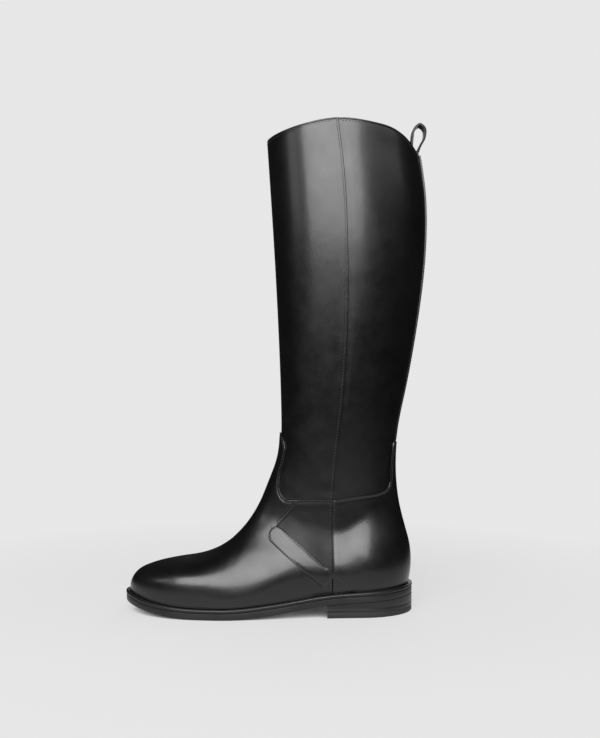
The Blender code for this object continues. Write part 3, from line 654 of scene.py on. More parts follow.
CALF_DARK, CALF_LIGHT = (0.0012, 0.0012, 0.0015), (0.0025, 0.0025, 0.0029)
BLACK_LEATHER = leather("black_calf", CALF_DARK, CALF_LIGHT, 0.32)
LOOP_LEATHER = leather("loop_leather", CALF_DARK, CALF_LIGHT, 0.46, 1.2, 0.0, specular=0.35)
PANEL_LEATHER = leather("ankle_leather", CALF_DARK, CALF_LIGHT, 0.5, 1.6, 0.0, 2.2, 0.35)
LINING = leather("lining_leather", (0.055, 0.045, 0.036), (0.085, 0.070, 0.055), 0.62, 1.4, 0.0)
SUEDE = fibrous("suede_grip", (0.035, 0.029, 0.024), (0.070, 0.058, 0.046), 0.92)
THREAD = woven("black_thread", (0.012, 0.012, 0.013), (0.045, 0.044, 0.043), 0.6, 0.3, 0.0)
WELT_LEATHER = stacked("welt_leather", (0.002, 0.002, 0.0022), (0.005, 0.005, 0.0052), 0.36)
SOLE_LEATHER = stacked("sole_leather", (0.003, 0.003, 0.0032), (0.008, 0.0078, 0.0076), 0.42)
HEEL_LEATHER = stacked("heel_leather", (0.003, 0.003, 0.0032), (0.009, 0.0087, 0.0084), 0.40, 2.2)
RUBBER = stacked("heel_rubber", (0.009, 0.009, 0.009), (0.016, 0.016, 0.016), 0.62, 0.8)
ZIP_METAL = metal("dark_nickel", (0.10, 0.10, 0.105), (0.19, 0.19, 0.20), 0.30)
STEEL = metal("plain_steel", (0.32, 0.32, 0.33), (0.45, 0.45, 0.46), 0.35)
TAPE = woven("zip_tape", (0.006, 0.006, 0.007), (0.022, 0.022, 0.024), 0.8)
BOARD = fibrous("fibre_board", (0.20, 0.13, 0.08), (0.38, 0.28, 0.18), 0.9)
STIFFENER = fibrous("stiffener_sheet", (0.25, 0.21, 0.15), (0.42, 0.37, 0.28), 0.85)


def dress(obj, body, slot, material, *nodes):
    """Gives a piece its body and material, and hides the CAD nodes that it stands for."""
    obj.data.materials.append(material)
    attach(obj, body)
    if nodes:
        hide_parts(*nodes)
    return obj


# Upper


def add_upper(node, blocks, face, thickness, *look, material=BLACK_LEATHER):
    """A leather piece of the upper that stands for one CAD node. look goes on to leather_sheet."""
    sheet = leather_sheet(f"{node}_leather", blocks, face, thickness, *look)
    dress(sheet, "boot", "upper_leather", material, node)


def vamp_back_y(z):
    """Rear edge of the vamp on the outer side: seam, strap, then the edge over the ankle panel."""
    edge = [(18, 53.1), (38, 53.1), (46, 45.5), (75, 5.4), (80.5, 2.0), (84, 3.4), (96, 14.8), (107, 22.4)]
    heights, places = zip(*edge)
    return np.interp(z, heights, places)


def tab_half(z):
    """Edge of the vamp's front tab, as y on each side."""
    edge = [
        (107.0, 14.0), (107.25, 11.4), (107.7, 9.9), (108.6, 8.5), (110.5, 6.8), (113, 5.4), (117, 4.4),
        (124, 4.5), (131.5, 5.4), (142, 8.4), (153, 10.3), (160, 9.3), (165, 7.6), (168.4, 6.3), (170.3, 5.0),
    ]
    heights, places = zip(*edge)
    return np.interp(z, heights, places)


def vamp_blocks():
    heights = np.concatenate([foot_heights(FOOT_START, 102.0), TAB_BASE - np.array(EDGE_MARKS[::-1])])
    start = window_edge(heights, -ZIP_WINDOW)
    stop = column_at(1, vamp_back_y(heights), heights)
    columns = two_sides(start, stop, heights)
    foot = block(columns, heights)
    base = columns[-1][foot[0][-1, :, 1] < 14.5]  # the points of the top row that the tab grows from
    tall = np.concatenate([
        [107.0, 107.25, 107.7, 108.3, 109.2, 110.5, 113, 117],
        np.arange(120, 165, 2.4), [165.5, 167.2, 168.4, 169.2, 169.8],
    ])
    edge = np.maximum(column_at(1, tab_half(tall), tall), 0.02)
    share = np.where(base > 0, base / base.max(), base / -base.min())
    rows = [base] + [share * one_edge for one_edge in edge[1:]]
    return [foot, block(np.array(rows), tall)]


def creases(points, normals):
    """Soft wear creases across the vamp where the toes bend."""
    y, z = points[:, 1], points[:, 2]
    lift = np.zeros(len(points))
    for place_y, depth, lean in ((-52, 0.10, 0.25), (-44, 0.14, 0.32), (-35, 0.09, 0.42)):
        # Each fold leans forwards as it comes down the side.
        across = (y - place_y + lean * (60 - z)) / 2.6
        lift -= depth * np.exp(-(across**2)) * ease(z, 26, 40)
    return lift


def make_vamp():
    def open_edge(points):
        x, y, z = points.T
        return (z > 60) | ((x > 0) & (y > 30) & (z > 20)) | ((x < 0) & (y > 40) & (z > 20))

    add_upper("vamp", vamp_blocks(), OVERLAY_FACE, OVERLAY_THICK, open_edge, creases)


QUARTER_TOP = [
    (1.0, 107.0), (1.12, 108.9), (1.24, 110.5), (1.36, 111.6), (1.46, 112.5), (1.56, 114.2), (1.63, 116.2),
    (1.68, 119.2), (1.705, 123.0), (1.722, 129.0), (1.745, 140.0), (1.765, 150.0), (1.775, 156.5),
    (1.785, 159.5), (1.80, 160.8), (1.83, 161.2), (2.0, 161.2),
]


def quarter_top(column):
    """Upper edge of the heel quarter, which rises to a flat tab at the back."""
    column = np.where(column > 2, 4 - column, column)
    places, heights = zip(*QUARTER_TOP)
    return np.interp(column, places, heights)


def quarter_block():
    half = np.concatenate([
        np.linspace(1.1, 1.66, 22), np.linspace(1.67, 1.80, 24), np.linspace(1.81, 2.0, 10)
    ])
    share = np.concatenate([[0, 0.01], np.linspace(0.03, 0.93, 52), [0.95, 0.965, 0.978, 0.987, 0.994, 1.0]])
    near = 1.0 + np.array([0.002, 0.006, 0.012, 0.02, 0.03, 0.045, 0.065, 0.085])
    far = 3.0 - np.array([0.085, 0.065, 0.045, 0.03, 0.02, 0.012, 0.006, 0.0])
    columns = np.concatenate([near, half, (4 - half[:-1])[::-1], far])
    tops = quarter_top(columns)
    heights = FOOT_START + share[:, None] * (tops - FOOT_START)[None, :]
    grid = np.repeat(columns[None, :], len(share), 0)
    last = 4 + window_edge(heights[:, -1], ZIP_WINDOW)
    slack = ease(grid, 2.6, 3.0)
    grid = grid + slack * (last[:, None] - 3.0)
    return block(grid, heights)


def make_quarter():
    def open_edge(points):
        x, y, z = points.T
        return (z > 90) | ((y < 75) & (z > 23))

    raised = 0.25
    add_upper("heel_quarter", [quarter_block()], OVERLAY_FACE + raised, OVERLAY_THICK + raised, open_edge)


def wrinkles(points, normals):
    """Loose folds in the thin ankle panel, running down and forwards."""
    y, z = points[:, 1], points[:, 2]
    run = (y * 0.75 + z * 0.66) / 5.2
    fade = ease(y, 2, 20) * (1 - ease(z, 92, 106))
    return 0.12 * fade * (np.sin(run * 2.1 + 0.35 * np.sin(z / 6)) - 0.4)


def panel_lift(z):
    """The ankle panel is sunk low down, but its top edge lies over the shaft."""
    return -0.5 + 0.8 * ease(z, 45, 97) + 0.9 * ease(z, 97, 103)


def seam_lift(z):
    """Outer face of the leather just in front of the side seam: vamp, strap, then ankle panel."""
    return np.where(z < 25.5, OVERLAY_FACE, np.where(z < 45.5, STRAP_FACE, panel_lift(z) - 0.3)) + 0.02


def make_ankle_panel():
    """The panel between strap, seam and shaft. It is softer leather, with folds low down."""
    heights = climb(34, PANEL_TOP, 1.2)
    start = column_at(1, np.minimum(vamp_back_y(heights) - 4, 16), heights)
    stop = column_at(1, seam_y(heights) + 2, heights)

    def shape(points, normals):
        return panel_lift(points[:, 2]) + wrinkles(points, normals)

    panel = block(spread(start, stop, heights, 1.4), heights)
    add_upper(
        "ankle_panel", [panel], 0.0, 1.2, lambda p: p[:, 2] > PANEL_TOP - 0.9, shape, material=PANEL_LEATHER
    )


STRAP_TOP = np.array([1.3, 73.9])
STRAP_FOOT = np.array([50.6, 33.5])


def strap_frame():
    along = STRAP_FOOT - STRAP_TOP
    length = np.linalg.norm(along)
    along = along / length
    return along, np.array([-along[1], along[0]]), length


def make_strap():
    along, across, length = strap_frame()
    half = 8.0
    run = np.concatenate([
        -half * np.cos(np.linspace(0.06, math.pi / 2, 14)), np.linspace(0, length, 40)[1:]
    ])
    width = np.where(run < 0, np.sqrt(np.maximum(half**2 - run**2, 0)), half)
    edge = np.array([0.74, 0.84, 0.91, 0.96, 1])
    share = np.concatenate([-edge[::-1], np.linspace(-0.6, 0.6, 9), edge])
    spots = STRAP_TOP + run[None, :, None] * along + (share[:, None] * width[None, :])[..., None] * across
    sides = np.ones(spots.shape[:2], int)
    points, normals = skin(sides, spots[..., 0], spots[..., 1])
    points, normals = points[::-1], normals[::-1]
    points, normals = facing_out(points, normals)
    add_upper(
        "instep_strap", [(points, normals)], STRAP_FACE, STRAP_THICK,
        lambda p: p[:, 1] < 47.0, None, 1.2, 0.4,
    )
    rows = []
    turns = np.linspace(0.0, math.pi / 2, 10)
    reach = half - 1.2
    for sign in (-1, 1):
        beside = STRAP_TOP + across * sign * reach
        path = [STRAP_TOP + reach * (across * sign * math.sin(t) - along * math.cos(t)) for t in turns]
        path = np.array(path + [beside + along * u for u in np.linspace(2, length - 1.5, 20)])
        base, up = skin(np.ones(len(path), int), path[:, 0], path[:, 1])
        rows.append((base + up * (STRAP_FACE - 0.08), up))
    stitches("strap_stitching", rows, slant=0.0)


# Shaft


def pucker(points):
    """A small fold of the shaft where all the seams on the outer side meet."""
    x, y, z = points.T
    return np.where(x > 0, 0.7, 0.0) * np.exp(-(((y - 50) / 9) ** 2) - ((z - 116) / 3.0) ** 2)


def make_shaft_front():
    heights = climb(SHAFT_START, RIM_HEIGHT, 5.0, [0.0, 2.0])
    stop = column_at(1, row_ends(True, heights)[1] - 0.1, heights)
    columns = two_sides(window_edge(heights, -ZIP_WINDOW), stop, heights, SHAFT_CELL)
    # On the outer side the lowest rows are drawn up to the ankle panel's top edge.
    rows, reach = heights[:, None], 8.0
    rise = (PANEL_TOP - SHAFT_START) * ease(columns, 0.12, 0.3) * (SHAFT_START + reach - rows) / reach
    lifted = rows + np.where((columns > 0) & (rows < SHAFT_START + reach), rise, 0.0)

    def open_edge(points):
        x, y, z = points.T
        return (z > 103) | ((x > 20) & (z > 101))

    def shape(points, normals):
        gap = seam_y(points[:, 2]) - points[:, 1]
        lap = np.where(points[:, 0] > 0, 1 - ease(gap, 2.5, 7.5), 0.0)
        return 0.75 * lap * ease(points[:, 2], 100, 112) + pucker(points)

    add_upper(
        "shaft_front", [block(columns, lifted)], SHAFT_FACE, SHAFT_THICK, open_edge, shape, 2.2, 0.6
    )


def make_shaft_rear():
    heights = climb(SHAFT_START, RIM_HEIGHT, 5.0, [0.0, 2.0])
    seam = row_ends(True, heights)[1]

    def shape(points, normals):
        gap = points[:, 1] - seam_y(points[:, 2])
        return np.where(points[:, 0] > 0, -0.8 * (1 - ease(gap, 1.0, 4.5)), 0.0) + pucker(points)

    start = column_at(1, seam - 2.0, heights)
    columns = spread(start, start * 0 + 2 - BUTT, heights, SHAFT_CELL)
    add_upper(
        "shaft_rear_outer", [block(columns, heights)], SHAFT_FACE, SHAFT_THICK,
        lambda p: p[:, 2] > 430, shape, 2.2,
    )
    stop = 4 + window_edge(heights, ZIP_WINDOW)
    columns = spread(stop * 0 + 2 + BUTT, stop, heights, SHAFT_CELL)
    add_upper(
        "shaft_rear_inner", [block(columns, heights)], SHAFT_FACE, SHAFT_THICK,
        lambda p: (p[:, 2] > 430) | (p[:, 1] < 100), None, 2.2,
    )


STAY_HALF = 0.10


def make_back_stay():
    heights = climb(160.0, RIM_HEIGHT, 5.0, [0.0, 2.0])
    middle = heights * 0 + 2
    columns = spread(middle - STAY_HALF, middle + STAY_HALF, heights, 1.6, EDGE_MARKS[:5])
    add_upper("back_stay", [block(columns, heights)], 1.3, 1.2, None, None, 1.6, 0.5)


LOOP_PATH = [
    (138.0, 410.0), (136.7, 424.0), (135.9, 434.0), (138.6, 444.0), (143.4, 454.0), (143.2, 462.0),
    (138.6, 465.8), (133.8, 462.0), (131.4, 452.0), (131.2, 440.0), (133.0, 424.0), (134.4, 411.0),
]


def make_pull_loop():
    """The folded strap of the pull loop, with its edges rolled and both ends inside the wall."""
    y, z = smooth_line(LOOP_PATH, 9)
    tangent = np.stack([np.gradient(y), np.gradient(z)], -1)
    tangent /= np.linalg.norm(tangent, axis=1, keepdims=True)
    half = 7.0
    edge = np.array([0.25, 0.5, 0.7, 0.84, 0.92, 0.97, 1])
    across = np.concatenate([-edge[::-1], [0], edge]) * half
    points = np.zeros((len(across), len(y), 3))
    normals = np.zeros_like(points)
    for i, x in enumerate(across):
        sag = 0.019 * x * x * (1 - ease(z, 432, 450))
        points[i] = np.stack([np.full(len(y), x), y - sag, z], -1)
        normals[i] = np.stack([np.zeros(len(y)), tangent[:, 1], -tangent[:, 0]], -1)
    points, normals = facing_out(points, normals)
    add_upper("pull_loop", [(points, normals)], 1.0, 2.0, None, None, 1.6, 0.6, material=LOOP_LEATHER)
    rows = []
    for side in (-1, 1):
        x = side * (half - 1.7)
        shown = z > 436
        path = np.stack([np.full(shown.sum(), x), y[shown], z[shown]], -1)
        up = np.stack([np.zeros(shown.sum()), tangent[shown, 1], -tangent[shown, 0]], -1)
        sign = 1 if up[len(up) // 2, 2] > 0 else -1
        rows.append((path + up * sign * 0.8, up * sign))
    stitches("pull_loop_stitching", rows, 2.4, 1.7, 0.3)


def add_lining(name, start, stop, heights, material, *nodes):
    """A plain sheet inside the leather, with no stitches and no cut edge that shows."""
    shaft = heights[0] > FOOT_START
    face = LINING_FACE if shaft else FOOT_LINING_FACE
    columns = spread(start, stop, heights, 4.0, [0.0, 0.6, 2.0]) if shaft else (
        spread(start, stop, heights, FOOT_LINING_CELL, [0.0, 2.0]))
    sheet = leather_sheet(name, [block(columns, heights)], face, LINING_THICK, no_edge, None, 0)
    dress(sheet, "boot", "lining_leather", material, *nodes)


def no_edge(points):
    return np.zeros(len(points), bool)


def make_linings():
    heights = climb(96.0, RIM_HEIGHT, 6.0, [0.0, 2.0])
    start, stop = window_edge(heights, -11), 4 + window_edge(heights, 11)
    seam, back = start * 0 + 1, start * 0 + 2
    add_lining("lining_front_leather", start, seam - BUTT, heights, LINING, "lining_front")
    add_lining(
        "lining_rear_outer_leather", seam + BUTT, back - BUTT, heights, LINING,
        "lining_rear_outer", "lining_back_strip",
    )
    add_lining("lining_rear_inner_leather", back + BUTT, stop, heights, LINING, "lining_rear_inner")
    low = foot_heights(FOOT_START, 95.6, FOOT_LINING_CELL)
    start, stop = window_edge(low, -11), 4 + window_edge(low, 11)
    seam = start * 0 + 1
    add_lining("foot_lining_leather", start, seam - BUTT, low, LINING, "lining_foot")
    add_lining("heel_grip_suede", seam + BUTT, stop, low, SUEDE, "heel_grip")


# Seams


def sew_upper():
    up = np.linspace(109, 448.5, 160)
    seam = row_ends(True, up)[1]
    stitches("side_seam_stitching", [sewn_line(1, seam - 2.2, up, 0.52)])
    low = np.linspace(21, 105.5, 50)
    edge = row_ends(True, low)[1]
    quarter = sewn_line(1, edge + 1.9, low, OVERLAY_FACE + 0.12)
    stitches("quarter_seam_stitching", [quarter])
    stitches("panel_seam_stitching", [sewn_line(1, edge - 1.5, low, seam_lift(low))])
    stitches("quarter_top_stitching", [quarter_top_row()])
    stitches("vamp_edge_stitching", vamp_rows())
    stitches("back_stay_stitching", stay_rows(), radius=0.3)
    stitches("top_edge_stitching", rim_rows(), radius=0.3)
    stitches("zip_edge_stitching", zip_rows(), radius=0.3)
    stitches("quarter_diagonal_stitching", [diagonal_row()])
    across = np.linspace(19.0, 52.0, 18)
    flat_row = across * 0 + 105.2
    stitches("panel_top_stitching", [sewn_line(1, across, flat_row, 1.0)])


def sewn_line(side, y, heights, lift):
    """A row of stitches that passes through these y and heights on one side."""
    return stitch_path(column_at(side, y, heights), heights, lift)


def inset(points, normals, distance):
    """A path moved sideways along the surface."""
    along = np.gradient(points, axis=0)
    along /= np.linalg.norm(along, axis=1, keepdims=True)
    return points + np.cross(normals, along) * distance


def quarter_top_row():
    stretches = ((1.04, 1.66, 40), (1.665, 1.82, 60), (1.83, 2.0, 20))
    columns = np.concatenate([np.linspace(*stretch) for stretch in stretches])
    columns = np.concatenate([columns, (4 - columns[:-1])[::-1]])
    columns = columns[columns < 2.9]  # it stops short of the zip
    points, normals = on_skin(columns, quarter_top(columns))
    path = inset(points, normals, -2.1)
    return path + normals * (OVERLAY_FACE + 0.12), normals


def vamp_rows():
    rows = []
    tall = np.concatenate([np.arange(108.0, 117, 1.0), np.arange(117, 166, 3.0), [167.5, 169.0]])
    for side in (1, -1):
        columns = side * column_at(1, tab_half(tall), tall)
        points, normals = on_skin(columns, tall)
        path = inset(points, normals, 2.1 * side)
        rows.append((path + normals * (OVERLAY_FACE - 0.12), normals))
    across = np.linspace(13.0, 21.0, 8)
    flat = across * 0 + TAB_BASE - 2.1
    rows.append(sewn_line(1, across, flat, OVERLAY_FACE - 0.12))
    inner = np.linspace(14.0, 46.0, 14)
    flat = inner * 0 + TAB_BASE - 2.1
    rows.append(sewn_line(-1, inner, flat, OVERLAY_FACE - 0.12))
    low = np.linspace(84.5, 105.5, 16)
    for distance in (2.0, 5.0):
        rows.append(sewn_line(1, vamp_back_y(low) - distance, low, OVERLAY_FACE - 0.12))
    return rows


def stay_rows():
    up = np.linspace(163, 447, 120)
    return [stitch_path(2 + side * (STAY_HALF - 0.026) + up * 0, up, 1.18) for side in (-1, 1)]


def rim_rows():
    rows = []
    top = RIM_HEIGHT - 3.0
    first, last = (window_edge(np.array([top]), reach)[0] for reach in (-9, 9))
    for start, stop in ((first, 0.955), (1.02, 1.885), (2.115, 4 + last)):
        columns = np.linspace(start, stop, 60)
        rows.append(stitch_path(columns, columns * 0 + top, -0.05))
    return rows


def zip_rows():
    rows = []
    for reach in (-8.7, 8.7):
        for low, high, lift in ((72, 106, OVERLAY_FACE - 0.05), (109, 447, -0.05)):
            up = np.linspace(low, high, 100)
            columns = window_edge(up, reach)
            rows.append(stitch_path(columns, up, lift))
    return rows


def diagonal_row():
    path = np.linspace([57.5, 37.4], [71.5, 26.0], 10)
    base, up = skin(np.ones(10, int), path[:, 0], path[:, 1])
    return base + up * (OVERLAY_FACE + 0.2), up


# Sole


def outline(columns, out):
    """The leather's lower edge in plan, moved outwards."""
    columns = np.asarray(columns, float)
    side, y, z = place(columns, columns * 0 + SEAT_HEIGHT)
    points, normals = skin(side, y, z + 0.3)
    away = normals[:, :2] / np.linalg.norm(normals[:, :2], axis=1, keepdims=True)
    return points[:, :2] + away * out


def sole_layer(name, profile, start=None, count=110, bands=8, bow=0.0):
    """A layer of the sole. The profile lists (out, height of y) from top to bottom."""
    first = 0.0
    if start is not None:
        trial = np.linspace(0.5, 1.6, 400)
        first = {s: np.interp(start, outline(s * trial, 0)[:, 1], trial) for s in (1, -1)}
    columns = {s: np.linspace(first[s] if start is not None else 0.0, 2.0, count) for s in (1, -1)}
    loops = []
    for out, height in profile:
        left, right = outline(columns[1], out), outline(-columns[-1], out)
        if start is not None:
            left[0, 1] = right[0, 1] = start
        else:
            left[0, 0] = right[0, 0] = (left[0, 0] + right[0, 0]) / 2
        right[-1] = left[-1]
        if start is None:
            right[0] = left[0]
        loops.append((left, right, height))
    blocks = []
    for (l0, r0, h0), (l1, r1, h1) in zip(loops, loops[1:]):
        for top_line, low_line, flip in ((l0, l1, False), (r0, r1, True)):
            rows = np.stack([low_line, top_line])
            z = np.stack([h1(low_line[:, 1]), h0(top_line[:, 1])])
            blocks.append(patch(rows, z, flip))
        if start is not None:
            blocks.append(breast(l0[0], r0[0], h0, l1[0], r1[0], h1, bands, bow))
    for left, right, height, flip in ((*loops[0], False), (*loops[-1], True)):
        share = np.linspace(0, 1, bands + 1)[:, None, None]
        rows = left[None] + (right - left)[None] * share
        if start is not None:
            rows[:, 0, 1] += bow * np.sin(np.pi * share[:, 0, 0])
        z = height(rows[..., 1])
        blocks.append(patch(rows, z, not flip))
    points, normals, faces = weave(blocks)
    mesh = make_mesh(name, points, faces, 40)
    fix = bmesh.new()
    fix.from_mesh(mesh)
    bmesh.ops.recalc_face_normals(fix, faces=fix.faces)
    fix.to_mesh(mesh)
    fix.free()
    return link(name, mesh)


def patch(rows, z, flip):
    points = np.concatenate([rows, z[..., None]], -1)
    points = points[::-1] if flip else points
    return points, np.zeros_like(points)


def breast(left_top, right_top, top_z, left_low, right_low, low_z, bands, bow):
    """The front face of a heel layer, bowed slightly towards the back."""
    share = np.linspace(0, 1, bands + 1)[:, None]
    curve = np.array([[0.0, bow]]) * np.sin(np.pi * share)
    top = left_top + (right_top - left_top) * share + curve
    low = left_low + (right_low - left_low) * share + curve
    return patch(np.stack([top, low]), np.stack([top_z(top[:, 1]), low_z(low[:, 1])]), False)


def under(depth):
    return lambda y: np.maximum(feather_z(y) - depth, 0.0)


def flat(height):
    return lambda y: 0 * y + height


HEEL_FRONT = 48.7


def make_sole():
    welt_profile = [
        (-4.4, under(0.0)), (1.8, under(0.0)), (4.0, under(-0.02)), (4.9, under(0.1)), (5.35, under(0.5)),
        (5.5, under(1.2)), (5.5, under(2.1)), (5.25, under(2.8)), (4.8, under(3.1)), (-4.4, under(3.1)),
    ]
    columns = np.linspace(0, 4, 241)[:-1]
    rings = []
    for out, height in welt_profile:
        ring = outline(columns, out)
        rings.append(np.concatenate([ring, height(ring[:, 1])[:, None]], 1))
    count = len(columns)
    faces = []
    for r in range(len(rings)):
        faces += tube_faces(r * count, (r + 1) % len(rings) * count, count)
    welt = link("welt_strip", make_mesh("welt_strip", np.vstack(rings), faces, 60))
    dress(welt, "boot", "sole_leather", WELT_LEATHER, "welt")
    ring = np.linspace(0.03, 3.97, 300)
    path = outline(ring, 4.0)
    path = np.concatenate([path, (feather_z(path[:, 1]) + 0.04)[:, None]], 1)
    stitches("welt_stitching", [(path, np.tile([0.0, 0.0, 1.0], (len(path), 1)))], 3.0, 2.3, 0.26, 0.0)

    outsole = sole_layer("outsole_leather", [
        (4.4, under(3.25)), (5.0, under(3.6)), (5.2, under(4.5)), (5.15, under(7.6)), (5.0, under(8.9)),
        (4.6, under(9.38)),
    ])
    dress(outsole, "boot", "sole_leather", SOLE_LEATHER, "outsole")
    heel = [
        ("heel_lift_upper", "leather", [
            (5.0, under(9.5)), (5.12, under(9.62)), (5.15, flat(8.85)), (5.05, flat(8.7)),
        ]),
        ("heel_lift_lower", "leather", [
            (5.03, flat(8.55)), (5.1, flat(8.4)), (5.06, flat(5.35)), (4.98, flat(5.2)),
        ]),
        ("heel_top_piece", "rubber", [
            (4.94, flat(5.05)), (5.0, flat(4.9)), (4.95, flat(0.6)), (4.5, flat(0.0)),
        ]),
    ]
    looks = {"leather": ("sole_leather", HEEL_LEATHER), "rubber": ("heel_rubber", RUBBER)}
    for node, stuff, profile in heel:
        layer = sole_layer(f"{node}_{stuff}", profile, HEEL_FRONT, bow=1.2)
        dress(layer, "boot", *looks[stuff], node)


def make_insole():
    sock_outline = [(-4.2, under(-3.4)), (-3.9, under(-3.0)), (-3.9, under(-2.4))]
    sock = sole_layer("insock_leather", sock_outline, count=80)
    dress(sock, "boot", "lining_leather", LINING, "insock")
    pad_outline = [(-10.5, under(-6.9)), (-9.6, under(-6.6)), (-8.9, under(-5.6)), (-8.6, under(-3.6))]
    pad = sole_layer("heel_pad_foam", pad_outline, 62.0, count=50, bow=-6.0)
    dress(pad, "boot", "lining_leather", SUEDE, "heel_pad")


# Zip


def zip_matrix():
    """The zip's own frame at the slider: x across it, y outwards and z along it."""
    along = Vector(ZIP_HEAD - ZIP_FOOT).normalized()
    outwards = along.cross(Vector((0, 1, 0))).normalized()
    if outwards.x > 0:
        outwards.negate()
    across = outwards.cross(along).normalized()
    share = (SLIDER_REST - ZIP_FOOT[2]) / (ZIP_HEAD[2] - ZIP_FOOT[2])
    centre = Vector(ZIP_FOOT + share * (ZIP_HEAD - ZIP_FOOT) - MIDDLE) * MM
    return Matrix.Translation(centre) @ Matrix((across, outwards, along)).transposed().to_4x4()


ZIP_FRAME = zip_matrix()
ZIP_SLOPE = Vector(ZIP_HEAD - ZIP_FOOT).normalized().z


def along_zip(z):
    return (z - SLIDER_REST) / ZIP_SLOPE


def zip_object(name, shape, bevel):
    """An object from a bmesh in the zip's frame, in millimetres."""
    bmesh.ops.recalc_face_normals(shape, faces=shape.faces)
    if bevel:
        edges = [e for e in shape.edges if len(e.link_faces) == 2 and e.calc_face_angle(0) > 0.6]
        bmesh.ops.bevel(shape, geom=edges, offset=bevel, segments=2, affect="EDGES", profile=0.6)
    mesh = bpy.data.meshes.new(name)
    shape.transform(ZIP_FRAME @ Matrix.Scale(MM, 4))
    shape.to_mesh(mesh)
    shape.free()
    mesh.shade_smooth()
    mesh.set_sharp_from_angle(angle=math.radians(40))
    return link(name, mesh)


def zip_metal_piece(name, shape, bevel, body, node):
    dress(zip_object(name, shape, bevel), body, "zip_metal", ZIP_METAL, node)


def add_block(shape, across, outwards, along):
    made = bmesh.ops.create_cube(shape, size=1)["verts"]
    for vert in made:
        limits = (across, outwards, along)
        vert.co = Vector([low + (co + 0.5) * (high - low) for co, (low, high) in zip(vert.co, limits)])
    return made


def mirrored(sign, near, far):
    """Limits across the zip of something on one side of its middle."""
    return tuple(sorted((sign * near, sign * far)))


def add_plate(shape, outline_points, low, high):
    """A plate with this outline in across and along, between two distances outwards."""
    under_side = [shape.verts.new((x, low, z)) for x, z in outline_points]
    upper_side = [shape.verts.new((x, high, z)) for x, z in outline_points]
    shape.faces.new(under_side)
    shape.faces.new(list(reversed(upper_side)))
    for i in range(len(outline_points)):
        j = (i + 1) % len(outline_points)
        shape.faces.new((under_side[j], under_side[i], upper_side[i], upper_side[j]))


def make_zip():
    bottom, top = along_zip(ZIP_BOTTOM), along_zip(ZIP_TOP)
    for name, sign in (("rear", 1), ("front", -1)):
        tape = bmesh.new()
        add_block(tape, mirrored(sign, 1.6, 11), (-2.95, -2.35), (bottom - 3, top + 3))
        add_block(tape, mirrored(sign, 1.2, 2.6), (-2.9, -0.9), (bottom - 1, top + 1))
        piece = zip_object(f"zip_tape_{name}_woven", tape, 0.2)
        dress(piece, "boot", "zip_tape", TAPE, f"zip_tape_{name}")
        teeth = bmesh.new()
        pitch = 2.3
        count = int((top - bottom) / pitch)
        for k in range(count):
            middle = bottom + (k + (0.5 if sign > 0 else 1.0)) * pitch
            add_tooth(teeth, sign, middle, pitch)
        zip_metal_piece(f"zip_teeth_{name}", teeth, 0.0, "boot", f"zip_row_{name}")
        stop = bmesh.new()
        add_block(stop, mirrored(sign, 0.6, 3.0), (-2.4, -0.35), (top + 0.4, top + 3))
        zip_metal_piece(f"zip_top_stop_{name}_cap", stop, 0.35, "boot", f"zip_top_stop_{name}")
    stop = bmesh.new()
    add_block(stop, (-3.0, 3.0), (-2.4, -0.35), (bottom - 3.4, bottom - 0.4))
    zip_metal_piece("zip_bottom_stop_cap", stop, 0.4, "boot", "zip_bottom_stop")
    guard = bmesh.new()
    add_block(guard, (-13, 13), (-6.5, -5.6), (bottom - 4, top - 8))
    dress(zip_object("zip_guard_leather", guard, 0.35), "boot", "zip_guard", LINING, "zip_guard")


def add_tooth(shape, sign, middle, pitch):
    """One tooth: a waisted block with a rounded nose that reaches over the middle line."""
    half = pitch * 0.24
    outline_points = [
        (2.9, -half), (1.3, -half), (0.9, -half * 0.8), (0.45, -half * 1.25), (0.05, -half * 0.8),
        (0.05, half * 0.8), (0.45, half * 1.25), (0.9, half * 0.8), (1.3, half), (2.9, half),
    ]
    points = [(sign * (x + 0.1), middle + z) for x, z in outline_points]
    add_plate(shape, points if sign > 0 else points[::-1], -2.3, -0.55)


def make_slider():
    slider = bmesh.new()
    right = [(3.0, 6.5), (4.5, 4.2), (4.6, 1.0), (3.6, -2.5), (3.3, -6.0), (2.8, -6.5)]
    outer = [(-right[0][0], right[0][1])] + right + [(-x, z) for x, z in right[:0:-1]]
    add_plate(slider, outer, -0.25, 0.85)
    inner = [(x * 0.92, z * 0.92) for x, z in outer]
    add_plate(slider, inner, -4.8, -3.85)
    for sign in (-1, 1):
        add_block(slider, mirrored(sign, 3.4, 4.2), (-0.9, -0.2), (-1.0, 5.0))
    add_plate(slider, [(-0.8, 4.4), (0.8, 4.4), (0.8, -2.4), (-0.8, -2.4)], 3.75, 4.55)
    add_block(slider, (-0.8, 0.8), (0.6, 4.0), (-2.4, -1.45))
    add_block(slider, (-0.8, 0.8), (0.6, 4.0), (3.45, 4.4))
    add_block(slider, (-1.4, 1.4), (-4.0, -0.1), (2.6, 5.6))
    zip_metal_piece("zip_slider_body", slider, 0.22, "slider", "zip_slider")
    make_pull()


